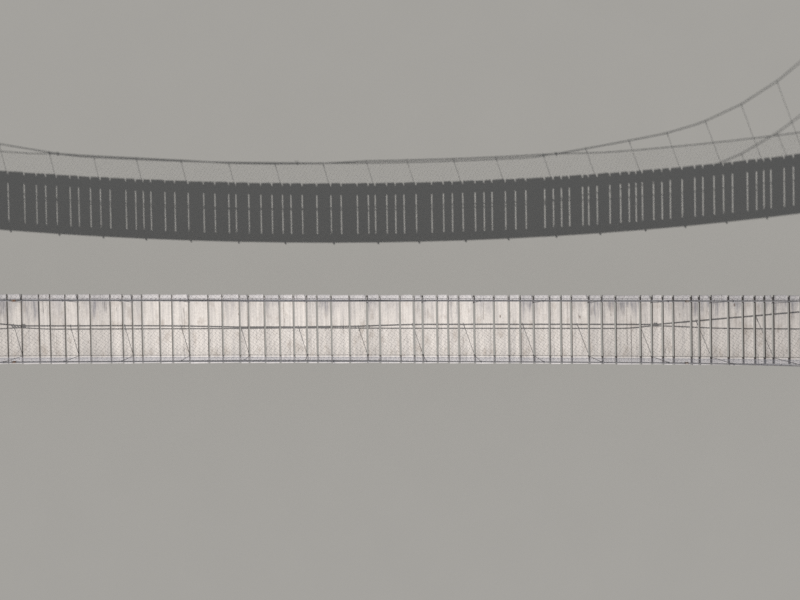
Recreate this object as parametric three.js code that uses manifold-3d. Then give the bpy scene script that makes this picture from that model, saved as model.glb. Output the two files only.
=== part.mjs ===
// Suspension footbridge: a sagging deck of uneven boards on two edge stringers, wire netting
// along both sides, main cables that come down to the netting near midspan, and a timber
// tower and concrete anchor block at each end.
// Millimetres. X runs along the bridge, Y across it and Z up. The origin is on the ground
// below midspan. "West" is the -X end and "north" the +Y side.
import * as THREE from "three";
import { mergeVertices } from "three/addons/utils/BufferGeometryUtils.js";
import Module from "manifold-3d";

const wasm = await Module();
wasm.setup();

// The small space left between two pieces that bear on each other, and the depth by which
// the shapes of one piece run into each other
const JOINT_GAP = 0.4;
const MERGE_DEPTH = 2;

// Line of the deck: the top of the boards hangs in a parabola between the two ends
const MIDSPAN_HEIGHT = 2450;
const SAG_RATE = 5.9e-6;
const DECK_END = 12265;

// Boards, laid across the bridge in a slightly skewed and uneven way
const BOARD_LENGTH = 1184;
const BOARD_THICKNESS = 40;
const BOARD_SKEW = 0.018;
const SKEW_VARIATION = 0.003;
const END_VARIATION = 4;
const GAP_AT_MIDSPAN = 31;
const GAP_GROWTH = 1.2e-3;
const GAP_LEAST = 22;
const GAP_MOST = 40;

// Room that each board takes along the bridge, its gap included, bay by bay between hangers
const BAYS = [
  [285, 180, 250, 210], [205, 335, 205, 165], [160, 300, 210, 285], [330, 240, 295, 155],
  [275, 260, 240, 225], [180, 245, 315, 305], [220, 350, 240, 150], [250, 190, 185, 265],
  [340, 255, 195, 230], [270, 195, 175, 295], [220, 230, 415, 190],
  [180, 175, 295, 130, 190], [285, 235, 190, 155, 140],
];
const WEST_END_BOARDS = [340, 320];
const EAST_END_BOARDS = [240, 260];

// The run of bays in each deck section, from west to east, as places in the list of bays
const DECK_SECTIONS = [[3, 4, 5], [6, 9, 8], [0, 1, 2], [3, 4, 5], [6, 7, 8], [9, 10, 11],
  [12, 7, 0], [1, 2, 3]];

// Stringers under the board ends, and the cables that carry them
const STRINGER_INNER = 465;
const STRINGER_OUTER = 560;
const STRINGER_DEPTH = 100;
const BOARD_HOUSING = 4;
const DECK_CABLE_RADIUS = 12;

// Netting at the sides, leaning outwards
const NETTING_LINE = 484;
const NETTING_LEAN = 0.04;
const NETTING_HEIGHT = 532;
const NETTING_FOOT = 3;
const NETTING_THICKNESS = 4;
const EDGE_ROPE = 16;
const NETTING_PANEL_ENDS = [-12200, -4700, 4035, 12200];
const PANEL_GAP = 8;

// Hangers, each in a gap between two boards, leaning outwards and to the east, and the
// stirrups that hold the stringers
const HANGER_LINE = 457;
const HANGER_LEAN = 0.0636;
const HANGER_TOP_SHIFT = 44;
const HANGER_RADIUS = 5;
const HANGER_FOOT_LENGTH = 45;
const HANGER_REACH = 11500;
const STIRRUP_BAR = 7;
const STIRRUP_WIDTH = 30;
const STIRRUP_TOP = -52;

// Main cables: level with the netting in the middle, rising from the clips to the towers
const MAIN_CABLE_RADIUS = 11;
const MIDDLE_RISE = 582;
const MIDDLE_DIP = 53;
const DIP_PLACE = -950;
const DIP_REACH = 1650;
const WEST_SLACK = 15;
const SLACK_PLACE = -3900;
const SLACK_REACH = 1900;
const INWARD_DRIFT = 0.1;
const CLIP_PLACE = 5380;
const RISING_SLOPE = 0.094;
const STEEP_START = 7700;
const CLIP_LENGTH = 60;
const CLIP_RADIUS = 22;

// Towers
const TOWER_PLACE = 12000;
const POST_SIZE = 200;
const POST_LINE = 740;
const POST_TOP = 5300;
const CAP_HEIGHT = 160;
const CAP_HALF_LENGTH = 980;
const TRANSOM_HALF_LENGTH = 900;
const TRANSOM_DEPTH = 200;
const TRANSOM_SETBACK = 5;
const PLANK_BRACE_THICKNESS = 45;
const CROSS_BRACE_WIDTH = 150;
const CROSS_BRACE_FOOT = 520;
const CROSS_BRACE_HEAD = 2820;
const KNEE_BRACE_WIDTH = 120;
const KNEE_BRACE_FOOT = { y: 760, z: 4760 };
const KNEE_BRACE_HEAD = { y: 330, z: 5385 };
const FOOTING_SIZE = 520;
const FOOTING_HEIGHT = 300;

// Saddles on the cap beams
const SADDLE_ARC = 120;
const SADDLE_LINE = 598;
const SADDLE_CENTRE = POST_TOP + CAP_HEIGHT - 38;
const SADDLE_PLATE = 12;
const SADDLE_PLATE_LENGTH = 196;
const SADDLE_PLATE_WIDTH = 120;
const SADDLE_HALF_WIDTH = 24;
const GROOVE_HALF_WIDTH = 14;
const SADDLE_CHEEK = 6;
const SADDLE_CLEARANCE = 1.6;

// Where the deck cables turn down over the transoms
const TRANSOM_ARC = 60;
const TRANSOM_CLEARANCE = 1;

// Anchor blocks and the plates that hold the cable ends
const ANCHOR_NEAR = 15500;
const ANCHOR_FAR = 16900;
const ANCHOR_HALF_WIDTH = 1000;
const ANCHOR_HEIGHT = 700;
const ANCHOR_CHAMFER = 60;
const PIN_PLACE = 16150;
const PIN_HEIGHT = 830;
const PIN_RADIUS = 14;
const TAB_THICKNESS = 16;
const TAB_RADIUS = 45;
const TAB_FLARE = 30;
const PLATE_THICKNESS = 20;
const PLATE_LENGTH = 260;
const PLATE_MARGIN = 60;
const PIN_CLEARANCE = 1;

const DECK_CABLE_LINE = (STRINGER_INNER + STRINGER_OUTER) / 2;
const DECK_CABLE_RISE = -(BOARD_THICKNESS + STRINGER_DEPTH + JOINT_GAP + DECK_CABLE_RADIUS);

const SIDES = [{ name: "north", sign: 1 }, { name: "south", sign: -1 }];
const ENDS = [{ name: "west", sign: -1 }, { name: "east", sign: 1 }];

const finish = (color, roughness, metalness) =>
  new THREE.MeshStandardMaterial({ color, roughness, metalness });
const MATERIALS = {
  boards: finish(0xb8b0a6, 0.9, 0),
  tower_timber: finish(0x7d7268, 0.9, 0),
  wire: finish(0x9fa3a5, 0.45, 0.8),
  cable: finish(0x45464a, 0.55, 0.7),
  steel: finish(0x5d5854, 0.6, 0.6),
  concrete: finish(0xaaa69d, 0.95, 0),
};

const bridge = new THREE.Group();

function addPiece(name, geometry, material) {
  const mesh = new THREE.Mesh(geometry, MATERIALS[material]);
  mesh.name = name;
  bridge.add(mesh);
}

// Booleans
function solidOf(geometry) {
  const bare = geometry.clone();
  bare.deleteAttribute("normal");
  bare.deleteAttribute("uv");
  const merged = mergeVertices(bare, 1e-3);
  return new wasm.Manifold(new wasm.Mesh({
    numProp: 3,
    vertProperties: new Float32Array(merged.getAttribute("position").array),
    triVerts: new Uint32Array(merged.getIndex().array),
  }));
}

function joined(geometries) {
  return geometries.map(solidOf).reduce((whole, part) => whole.add(part));
}

function geometryOf(solid) {
  const mesh = solid.getMesh();
  const geometry = new THREE.BufferGeometry();
  geometry.setAttribute("position", new THREE.BufferAttribute(mesh.vertProperties, 3));
  geometry.setIndex(new THREE.BufferAttribute(mesh.triVerts, 1));
  return geometry;
}

// Basic shapes
function block([x0, x1], [y0, y1], [z0, z1]) {
  const geometry = new THREE.BoxGeometry(x1 - x0, y1 - y0, z1 - z0);
  return geometry.translate((x0 + x1) / 2, (y0 + y1) / 2, (z0 + z1) / 2);
}

// An outline of [x, z] points, carried across from y0 to y1
function sideProfile(outline, y0, y1) {
  const shape = new THREE.Shape(outline.map(([x, z]) => new THREE.Vector2(x, z)));
  const geometry = new THREE.ExtrudeGeometry(shape, { depth: y1 - y0, bevelEnabled: false });
  return geometry.rotateX(Math.PI / 2).translate(0, y1, 0);
}

// An outline of [y, z] points, carried along from x0 to x1
function endProfile(outline, x0, x1) {
  const shape = new THREE.Shape(outline.map(([y, z]) => new THREE.Vector2(y, z)));
  const geometry = new THREE.ExtrudeGeometry(shape, { depth: x1 - x0, bevelEnabled: false });
  return geometry.rotateX(Math.PI / 2).rotateZ(Math.PI / 2).translate(x0, 0, 0);
}

function roundSection(radius, sides) {
  const corners = Array.from({ length: sides }, (_, i) => {
    const turn = (2 * Math.PI * i) / sides;
    return new THREE.Vector2(radius * Math.cos(turn), radius * Math.sin(turn));
  });
  return new THREE.Shape(corners);
}

// A path through given stations, with a section square to it at each station
class StationPath extends THREE.Curve {
  constructor(stations) {
    super();
    this.stations = stations;
  }

  getPoint(t, target = new THREE.Vector3()) {
    const last = this.stations.length - 1;
    const index = Math.min(Math.floor(t * last), last - 1);
    return target.lerpVectors(this.stations[index], this.stations[index + 1], t * last - index);
  }

  getPointAt(u, target) {
    return this.getPoint(u, target);
  }

  getTangentAt(u, target = new THREE.Vector3()) {
    const last = this.stations.length - 1;
    const here = Math.round(u * last);
    const steps = [];
    if (here > 0) steps.push([here - 1, here]);
    if (here < last) steps.push([here, here + 1]);
    target.set(0, 0, 0);
    for (const [from, to] of steps) {
      target.add(this.stations[to].clone().sub(this.stations[from]).normalize());
    }
    return target.normalize();
  }
}

function sweep(section, stations) {
  return new THREE.ExtrudeGeometry(section, {
    steps: stations.length - 1,
    bevelEnabled: false,
    extrudePath: new StationPath(stations),
  });
}

const rod = (from, to, radius, sides) => sweep(roundSection(radius, sides), [from, to]);

// Line of the deck
const deckHeight = (x) => MIDSPAN_HEIGHT + SAG_RATE * x * x;
const deckSlope = (x) => 2 * SAG_RATE * x;

// A point at a given rise above the boards, measured square to the deck
function deckPoint(x, y, rise) {
  const run = Math.hypot(1, deckSlope(x));
  return new THREE.Vector3(x - (rise * deckSlope(x)) / run, y, deckHeight(x) + rise / run);
}

// The bays in order, each with its place along the bridge and its boards
function layOutBays() {
  const runs = [WEST_END_BOARDS, ...DECK_SECTIONS.flat().map((i) => BAYS[i]), EAST_END_BOARDS];
  let start = -DECK_END;
  return runs.map((boards) => {
    const bay = { start, end: start + boards.reduce((sum, room) => sum + room, 0), boards };
    start = bay.end;
    return bay;
  });
}

const bays = layOutBays();
const bayLines = bays.slice(1).map((bay) => bay.start);
const hangerLines = bayLines.filter((x) => Math.abs(x) < HANGER_REACH);

// Boards and stringers
function boardGap(x) {
  return THREE.MathUtils.clamp(GAP_AT_MIDSPAN + GAP_GROWTH * x, GAP_LEAST, GAP_MOST);
}

// A small repeatable unevenness between -1 and 1
const unevenness = (count) => ((count * 7) % 5) / 2 - 1;

function board(start, room, count) {
  const middle = start + room / 2;
  const geometry = new THREE.BoxGeometry(room - boardGap(middle), BOARD_LENGTH, BOARD_THICKNESS);
  geometry.rotateZ(BOARD_SKEW + SKEW_VARIATION * unevenness(count));
  geometry.rotateY(-Math.atan(deckSlope(middle)));
  const place = deckPoint(middle, END_VARIATION * unevenness(count + 2), -BOARD_THICKNESS / 2);
  return geometry.translate(place.x, place.y, place.z);
}

function stringer(lines, sign) {
  const at = (rise) => (x) => {
    const point = deckPoint(x, 0, rise);
    return [point.x, point.z];
  };
  const lower = lines.map(at(-BOARD_THICKNESS - STRINGER_DEPTH));
  const upper = lines.map(at(BOARD_HOUSING - BOARD_THICKNESS)).reverse();
  const edges = [sign * STRINGER_INNER, sign * STRINGER_OUTER].sort((a, b) => a - b);
  return sideProfile([...lower, ...upper], ...edges);
}

function addDeck() {
  let first = 0;
  let count = 0;
  DECK_SECTIONS.forEach((places, index) => {
    const atWestEnd = index === 0;
    const atEastEnd = index === DECK_SECTIONS.length - 1;
    const length = places.length + (atWestEnd ? 1 : 0) + (atEastEnd ? 1 : 0);
    const run = bays.slice(first, first + length);
    first += length;
    const lines = [run[0].start + JOINT_GAP, ...run.slice(1).map((bay) => bay.start),
      run[run.length - 1].end - JOINT_GAP];
    const pieces = SIDES.map((side) => stringer(lines, side.sign));
    for (const bay of run) {
      let start = bay.start;
      for (const room of bay.boards) {
        pieces.push(board(start, room, count));
        start += room;
        count += 1;
      }
    }
    addPiece(`deck_section_${index + 1}`, geometryOf(joined(pieces)), "boards");
  });
}

// Netting, as a sheet with a rope along its top
function nettingSection(sign) {
  const half = NETTING_THICKNESS / 2;
  const rope = EDGE_ROPE / 2;
  const foot = NETTING_FOOT;
  const top = NETTING_HEIGHT;
  const outline = [
    [half, foot], [half, top - EDGE_ROPE], [rope, top - EDGE_ROPE], [rope, top],
    [-rope, top], [-rope, top - EDGE_ROPE], [-half, top - EDGE_ROPE], [-half, foot],
  ];
  // The path's own axes point towards -Y and -Z
  const corners = outline.map(([across, rise]) =>
    new THREE.Vector2(-(across + sign * NETTING_LEAN * rise), -rise));
  return new THREE.Shape(corners);
}

function addNetting() {
  for (const side of SIDES) {
    for (let i = 0; i + 1 < NETTING_PANEL_ENDS.length; i += 1) {
      const from = NETTING_PANEL_ENDS[i] + PANEL_GAP / 2;
      const to = NETTING_PANEL_ENDS[i + 1] - PANEL_GAP / 2;
      const lines = [from, ...bayLines.filter((x) => x > from && x < to), to];
      const stations = lines.map((x) => deckPoint(x, side.sign * NETTING_LINE, 0));
      addPiece(`netting_${side.name}_${i + 1}`, sweep(nettingSection(side.sign), stations), "wire");
    }
  }
}

// Arc of a cable over a saddle, between two angles measured from the vertical
function arcStations(centre, radius, fromAngle, toAngle, y) {
  const count = 6;
  return Array.from({ length: count + 1 }, (_, i) => {
    const angle = fromAngle + ((toAngle - fromAngle) * i) / count;
    return new THREE.Vector3(
      centre.x + radius * Math.sin(angle), y, centre.z + radius * Math.cos(angle));
  });
}

// Angle from the vertical at which a straight line to a point leaves a circle
function leavingAngle(centre, radius, point) {
  const dx = Math.abs(point.x - centre.x);
  const dz = point.z - centre.z;
  return Math.atan2(dx, dz) - Math.acos(radius / Math.hypot(dx, dz));
}

// Main cable between the saddles: height above the boards, and the point at a given x
const SADDLE_MEETING_ANGLE = THREE.MathUtils.degToRad(35);
const saddleMeeting = {
  x: TOWER_PLACE - SADDLE_ARC * Math.sin(SADDLE_MEETING_ANGLE),
  z: SADDLE_CENTRE + SADDLE_ARC * Math.cos(SADDLE_MEETING_ANGLE),
};

// How far a slack stretch hangs low at x, fading away past its reach
const slackness = (x, depth, place, reach) => depth * Math.exp(-(((x - place) / reach) ** 4));

const lowness = (x) => slackness(x, MIDDLE_DIP, DIP_PLACE, DIP_REACH)
  + slackness(x, WEST_SLACK, SLACK_PLACE, SLACK_REACH);

const gentleRise = (x) =>
  MIDDLE_RISE - lowness(x) + RISING_SLOPE * Math.max(0, Math.abs(x) - CLIP_PLACE);

const steepness = (saddleMeeting.z - deckHeight(saddleMeeting.x) - gentleRise(saddleMeeting.x))
  / (saddleMeeting.x - STEEP_START) ** 2;

// Where it hangs low, the cable lies a little further in, beside the netting's rope
function mainCablePoint(x, sign) {
  const rise = gentleRise(x) + steepness * Math.max(0, Math.abs(x) - STEEP_START) ** 2;
  const across = HANGER_LINE + HANGER_LEAN * rise - INWARD_DRIFT * lowness(x);
  return new THREE.Vector3(x, sign * across, deckHeight(x) + rise);
}

// A hanger stands in the skewed gap at its bay line, square to the deck but for its lean
const hangerFootPlace = (line, sign) => line - BOARD_SKEW * sign * HANGER_LINE;

function hangerTop(line, sign) {
  const foot = hangerFootPlace(line, sign);
  return mainCablePoint(foot + HANGER_TOP_SHIFT - deckSlope(foot) * NETTING_HEIGHT, sign);
}

function mainCableStations(sign) {
  const centre = { x: TOWER_PLACE, z: SADDLE_CENTRE };
  const outerAngle = leavingAngle(centre, SADDLE_ARC, { x: PIN_PLACE, z: PIN_HEIGHT });
  const pin = (end) => new THREE.Vector3(end * PIN_PLACE, sign * SADDLE_LINE, PIN_HEIGHT);
  const overSaddle = (end) => arcStations({ x: end * TOWER_PLACE, z: SADDLE_CENTRE },
    SADDLE_ARC, -end * SADDLE_MEETING_ANGLE, end * outerAngle, sign * SADDLE_LINE);
  const free = [CLIP_PLACE, STEEP_START, HANGER_REACH].flatMap((x) => [-x, x])
    .map((x) => mainCablePoint(x, sign));
  const span = [...hangerLines.map((line) => hangerTop(line, sign)), ...free]
    .sort((a, b) => a.x - b.x);
  return [pin(-1), ...overSaddle(-1).reverse(), ...span, ...overSaddle(1), pin(1)];
}

function stirrup(line, sign) {
  const inner = STRINGER_INNER - JOINT_GAP;
  const outer = STRINGER_OUTER + JOINT_GAP;
  const seat = DECK_CABLE_RISE - DECK_CABLE_RADIUS - JOINT_GAP;
  const outline = [
    [inner - STIRRUP_BAR, STIRRUP_TOP], [inner - STIRRUP_BAR, seat - STIRRUP_BAR],
    [outer + STIRRUP_BAR, seat - STIRRUP_BAR], [outer + STIRRUP_BAR, STIRRUP_TOP],
    [outer, STIRRUP_TOP], [outer, seat], [inner, seat], [inner, STIRRUP_TOP],
  ].map(([y, rise]) => [sign * y, rise]);
  if (sign < 0) outline.reverse();
  const x = hangerFootPlace(line, sign);
  const geometry = endProfile(outline, -STIRRUP_WIDTH / 2, STIRRUP_WIDTH / 2);
  geometry.rotateY(-Math.atan(deckSlope(x)));
  return geometry.translate(x, 0, deckHeight(x));
}

function hanger(line, sign) {
  const top = hangerTop(line, sign);
  const inGap = deckPoint(hangerFootPlace(line, sign), sign * HANGER_LINE, -BOARD_THICKNESS / 2);
  const downwards = inGap.clone().sub(top).setLength(HANGER_FOOT_LENGTH);
  return rod(inGap.add(downwards), top, HANGER_RADIUS, 4);
}

// The clamp where the rising cable is tied down to the netting
function cableClip(place, sign) {
  const along = new THREE.Vector3(CLIP_LENGTH / 2, 0, deckSlope(place) * (CLIP_LENGTH / 2));
  const middle = mainCablePoint(place, sign);
  return rod(middle.clone().sub(along), middle.clone().add(along), CLIP_RADIUS, 6);
}

// The forked socket at a cable's end, with the pin through its tab
function forkedSocket(pin, next, cableRadius) {
  const cheekRadius = 34;
  const throat = 58;
  const heel = 92;
  const coneStart = 82;
  const coneEnd = 210;
  const cheekInner = TAB_THICKNESS / 2 + PIN_CLEARANCE;
  const cheekOuter = cheekInner + 10;
  const pinLength = 2 * cheekOuter + 12;
  const sector = Array.from({ length: 5 }, (_, i) => {
    const angle = Math.PI / 2 + (Math.PI * i) / 4;
    return [cheekRadius * Math.cos(angle), cheekRadius * Math.sin(angle)];
  });
  const cheekOutline = [...sector, [heel, -cheekRadius], [heel, cheekRadius]];
  const pieces = [
    sideProfile(cheekOutline, cheekInner, cheekOuter),
    sideProfile(cheekOutline, -cheekOuter, -cheekInner),
    block([throat, heel], [-cheekOuter, cheekOuter], [-cheekRadius, cheekRadius]),
    new THREE.CylinderGeometry(cableRadius + 3, cheekOuter + 6, coneEnd - coneStart, 8)
      .rotateZ(-Math.PI / 2).translate((coneEnd + coneStart) / 2, 0, 0),
    new THREE.CylinderGeometry(PIN_RADIUS, PIN_RADIUS, pinLength, 8),
  ];
  const run = next.clone().sub(pin);
  const turn = Math.atan2(-run.z, run.x);
  return pieces.map((piece) => piece.rotateY(turn).translate(pin.x, pin.y, pin.z));
}

// A whole cable: the swept rope between its two sockets, and the sockets themselves
function ropeWithSockets(stations, radius) {
  const last = stations.length - 1;
  const shortened = stations.map((point) => point.clone());
  const ropeStart = 150;
  shortened[0].lerp(stations[1], ropeStart / stations[0].distanceTo(stations[1]));
  shortened[last].lerp(stations[last - 1],
    ropeStart / stations[last].distanceTo(stations[last - 1]));
  return [
    sweep(roundSection(radius, 6), shortened),
    ...forkedSocket(stations[0], stations[1], radius),
    ...forkedSocket(stations[last], stations[last - 1], radius),
  ];
}

function addMainCables() {
  for (const side of SIDES) {
    const pieces = ropeWithSockets(mainCableStations(side.sign), MAIN_CABLE_RADIUS);
    for (const end of ENDS) pieces.push(cableClip(end.sign * CLIP_PLACE, side.sign));
    for (const line of hangerLines) {
      pieces.push(hanger(line, side.sign), stirrup(line, side.sign));
    }
    addPiece(`main_cable_${side.name}`, geometryOf(joined(pieces)), "cable");
  }
}

// Deck cables, lying under the stringers and turning down over the transoms
const transomTop = {
  inner: TOWER_PLACE + POST_SIZE / 2 + JOINT_GAP,
  outer: DECK_END - TRANSOM_SETBACK,
};

function transomTopHeight(x) {
  const rise = DECK_CABLE_RISE - DECK_CABLE_RADIUS - TRANSOM_CLEARANCE;
  return deckHeight(x) + rise * Math.hypot(1, deckSlope(x));
}

function deckCableStations(sign) {
  const y = sign * DECK_CABLE_LINE;
  const under = [-DECK_END, ...bayLines, DECK_END].map((x) => deckPoint(x, y, DECK_CABLE_RISE));
  const turning = (end) => {
    const slopeAngle = Math.atan(deckSlope(DECK_END));
    const edge = deckPoint(DECK_END, y, DECK_CABLE_RISE - TRANSOM_ARC);
    const centre = { x: end * edge.x, z: edge.z };
    const leave = leavingAngle(centre, TRANSOM_ARC, { x: end * PIN_PLACE, z: PIN_HEIGHT });
    return arcStations(centre, TRANSOM_ARC, -end * slopeAngle, end * leave, y).slice(1);
  };
  const pin = (end) => new THREE.Vector3(end * PIN_PLACE, y, PIN_HEIGHT);
  return [pin(-1), ...turning(-1).reverse(), ...under, ...turning(1), pin(1)];
}

function addDeckCables() {
  for (const side of SIDES) {
    const pieces = ropeWithSockets(deckCableStations(side.sign), DECK_CABLE_RADIUS);
    addPiece(`deck_cable_${side.name}`, geometryOf(joined(pieces)), "cable");
  }
}

// Towers: two posts on footings, a cap beam, a transom under the deck end and plank braces
const span = (a, b) => [Math.min(a, b), Math.max(a, b)];
const around = (middle, width) => [middle - width / 2, middle + width / 2];

function plankBrace(from, to, width, x0, x1) {
  const run = new THREE.Vector2(to.y - from.y, to.z - from.z);
  const half = new THREE.Vector2(-run.y, run.x).setLength(width / 2);
  const outline = [
    [from.y + half.x, from.z + half.y], [from.y - half.x, from.z - half.y],
    [to.y - half.x, to.z - half.y], [to.y + half.x, to.z + half.y],
  ];
  return endProfile(outline, ...span(x0, x1));
}

function addTowerFrame(end) {
  const x = end.sign * TOWER_PLACE;
  const inFace = end.sign * (TOWER_PLACE - POST_SIZE / 2 - JOINT_GAP);
  const outFace = end.sign * (TOWER_PLACE + POST_SIZE / 2 + JOINT_GAP);
  const acrossFrom = (sign, { y, z }) => ({ y: sign * y, z });
  for (const side of SIDES) {
    const y = side.sign * POST_LINE;
    addPiece(`${end.name}_${side.name}_footing`,
      block(around(x, FOOTING_SIZE), around(y, FOOTING_SIZE), [0, FOOTING_HEIGHT]), "concrete");
    addPiece(`${end.name}_${side.name}_post`,
      block(around(x, POST_SIZE), around(y, POST_SIZE),
        [FOOTING_HEIGHT + JOINT_GAP, POST_TOP]), "tower_timber");
    addPiece(`${end.name}_${side.name}_knee_brace`,
      plankBrace(acrossFrom(side.sign, KNEE_BRACE_FOOT), acrossFrom(side.sign, KNEE_BRACE_HEAD),
        KNEE_BRACE_WIDTH, outFace, outFace + end.sign * PLANK_BRACE_THICKNESS), "tower_timber");
  }
  addPiece(`${end.name}_cap_beam`,
    block(around(x, POST_SIZE), [-CAP_HALF_LENGTH, CAP_HALF_LENGTH],
      [POST_TOP + JOINT_GAP, POST_TOP + CAP_HEIGHT]), "tower_timber");
  const bottom = transomTopHeight(transomTop.inner) - TRANSOM_DEPTH;
  const outline = [
    [transomTop.inner, bottom], [transomTop.outer, bottom],
    [transomTop.outer, transomTopHeight(transomTop.outer)],
    [transomTop.inner, transomTopHeight(transomTop.inner)],
  ].map(([along, z]) => [end.sign * along, z]);
  if (end.sign < 0) outline.reverse();
  addPiece(`${end.name}_transom`,
    sideProfile(outline, -TRANSOM_HALF_LENGTH, TRANSOM_HALF_LENGTH), "tower_timber");
  const diagonal = (sign) => plankBrace({ y: -sign * POST_LINE, z: CROSS_BRACE_FOOT },
    { y: sign * POST_LINE, z: CROSS_BRACE_HEAD }, CROSS_BRACE_WIDTH,
    inFace, inFace - end.sign * PLANK_BRACE_THICKNESS);
  addPiece(`${end.name}_cross_brace`,
    geometryOf(joined([diagonal(1), diagonal(-1)])), "tower_timber");
}

// Saddles: a grooved arc between two cheeks on a base plate
function saddleOutline(radius, base) {
  const reach = Math.acos((base - SADDLE_CENTRE) / radius);
  const count = 7;
  return Array.from({ length: count + 1 }, (_, i) => {
    const angle = -reach + (2 * reach * i) / count;
    return [radius * Math.sin(angle), SADDLE_CENTRE + radius * Math.cos(angle)];
  });
}

function addSaddles(end) {
  const seat = POST_TOP + CAP_HEIGHT + JOINT_GAP;
  const base = seat + SADDLE_PLATE - MERGE_DEPTH;
  for (const side of SIDES) {
    const grooveRadius = SADDLE_ARC - MAIN_CABLE_RADIUS - SADDLE_CLEARANCE;
    const cheek = saddleOutline(SADDLE_ARC + SADDLE_CHEEK, base);
    const pieces = [
      block(around(0, SADDLE_PLATE_LENGTH), around(0, SADDLE_PLATE_WIDTH),
        [seat, seat + SADDLE_PLATE]),
      sideProfile(saddleOutline(grooveRadius, base), -SADDLE_HALF_WIDTH, SADDLE_HALF_WIDTH),
      sideProfile(cheek, GROOVE_HALF_WIDTH, SADDLE_HALF_WIDTH),
      sideProfile(cheek, -SADDLE_HALF_WIDTH, -GROOVE_HALF_WIDTH),
    ];
    const geometry = geometryOf(joined(pieces));
    geometry.translate(end.sign * TOWER_PLACE, side.sign * SADDLE_LINE, 0);
    addPiece(`${end.name}_${side.name}_saddle`, geometry, "steel");
  }
}

// Anchors: a concrete block and, for each side, a plate with two tabs for the cable pins
function tab(y) {
  const seat = ANCHOR_HEIGHT + PLATE_THICKNESS - MERGE_DEPTH;
  const arc = Array.from({ length: 6 }, (_, i) => {
    const angle = (Math.PI * i) / 5;
    return [TAB_RADIUS * Math.cos(angle), PIN_HEIGHT + TAB_RADIUS * Math.sin(angle)];
  });
  const footReach = TAB_RADIUS + TAB_FLARE;
  const outline = [...arc, [-footReach, seat], [footReach, seat]];
  const plate = solidOf(sideProfile(outline, y - TAB_THICKNESS / 2, y + TAB_THICKNESS / 2));
  const hole = new THREE.CylinderGeometry(PIN_RADIUS + PIN_CLEARANCE, PIN_RADIUS + PIN_CLEARANCE,
    2 * TAB_THICKNESS, 8).translate(0, y, PIN_HEIGHT);
  return plate.subtract(solidOf(hole));
}

function addAnchors(end) {
  const shoulder = ANCHOR_HEIGHT - ANCHOR_CHAMFER;
  const outline = [
    [ANCHOR_NEAR, 0], [ANCHOR_FAR, 0], [ANCHOR_FAR, shoulder],
    [ANCHOR_FAR - ANCHOR_CHAMFER, ANCHOR_HEIGHT], [ANCHOR_NEAR + ANCHOR_CHAMFER, ANCHOR_HEIGHT],
    [ANCHOR_NEAR, shoulder],
  ].map(([x, z]) => [end.sign * x, z]);
  if (end.sign < 0) outline.reverse();
  addPiece(`${end.name}_anchor_block`,
    sideProfile(outline, -ANCHOR_HALF_WIDTH, ANCHOR_HALF_WIDTH), "concrete");
  for (const side of SIDES) {
    const seat = ANCHOR_HEIGHT + JOINT_GAP;
    const lines = span(side.sign * DECK_CABLE_LINE, side.sign * SADDLE_LINE);
    const base = solidOf(block(around(0, PLATE_LENGTH),
      [lines[0] - PLATE_MARGIN, lines[1] + PLATE_MARGIN],
      [seat, ANCHOR_HEIGHT + PLATE_THICKNESS]));
    const plate = geometryOf(lines.reduce((whole, y) => whole.add(tab(y)), base));
    plate.translate(end.sign * PIN_PLACE, 0, 0);
    addPiece(`${end.name}_${side.name}_anchor_plate`, plate, "steel");
  }
}

addDeck();
addNetting();
addMainCables();
addDeckCables();
for (const end of ENDS) {
  addTowerFrame(end);
  addSaddles(end);
  addAnchors(end);
}

export default bridge;
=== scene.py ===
"""Looks of a suspension footbridge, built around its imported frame.

Metres. X runs along the bridge and +X is its east end, +Y is its north side and Z is up. The
origin is on the ground below midspan.
"""

import logging
import math
import random
from collections.abc import Callable, Iterable, Sequence
from dataclasses import dataclass, field
from enum import Enum

import bmesh
import bpy
from mathutils import Matrix, Vector, noise

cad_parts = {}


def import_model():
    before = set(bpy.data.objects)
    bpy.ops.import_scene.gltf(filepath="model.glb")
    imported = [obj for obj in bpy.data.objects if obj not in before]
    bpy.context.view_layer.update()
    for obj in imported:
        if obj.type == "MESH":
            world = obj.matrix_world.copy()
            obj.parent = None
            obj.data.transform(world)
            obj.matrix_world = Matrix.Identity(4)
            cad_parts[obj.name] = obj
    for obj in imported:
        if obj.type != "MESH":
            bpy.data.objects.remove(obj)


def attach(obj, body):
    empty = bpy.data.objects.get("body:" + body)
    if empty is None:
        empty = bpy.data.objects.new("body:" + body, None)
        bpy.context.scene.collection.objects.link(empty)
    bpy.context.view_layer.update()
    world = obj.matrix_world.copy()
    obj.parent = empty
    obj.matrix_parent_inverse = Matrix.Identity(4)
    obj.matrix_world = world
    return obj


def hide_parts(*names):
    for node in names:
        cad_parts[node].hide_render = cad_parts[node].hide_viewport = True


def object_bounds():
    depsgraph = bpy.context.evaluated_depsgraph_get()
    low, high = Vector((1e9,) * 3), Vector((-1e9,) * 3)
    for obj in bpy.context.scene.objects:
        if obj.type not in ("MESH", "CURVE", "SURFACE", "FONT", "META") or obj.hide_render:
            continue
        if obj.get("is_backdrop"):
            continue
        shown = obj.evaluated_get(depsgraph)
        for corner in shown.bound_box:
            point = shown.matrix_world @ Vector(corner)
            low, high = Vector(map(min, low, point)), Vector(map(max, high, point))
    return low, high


Colour = tuple[float, float, float]
Point2 = tuple[float, float]
Material = bpy.types.Material
Socket = bpy.types.NodeSocket
Value = float | Socket
Tint = Colour | Socket

log = logging.getLogger("footbridge")

FULL_TURN = 2 * math.pi
SHARP_EDGE = math.radians(32)
SAME_PLACE = 1e-6
NEAR = 1e-4
LOCAL = "local"
ALONG_Y = Matrix.Rotation(math.radians(90), 4, "X")
ALONG_X = Matrix.Rotation(math.radians(90), 4, "Y")
UP = Vector((0, 0, 1))


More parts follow.
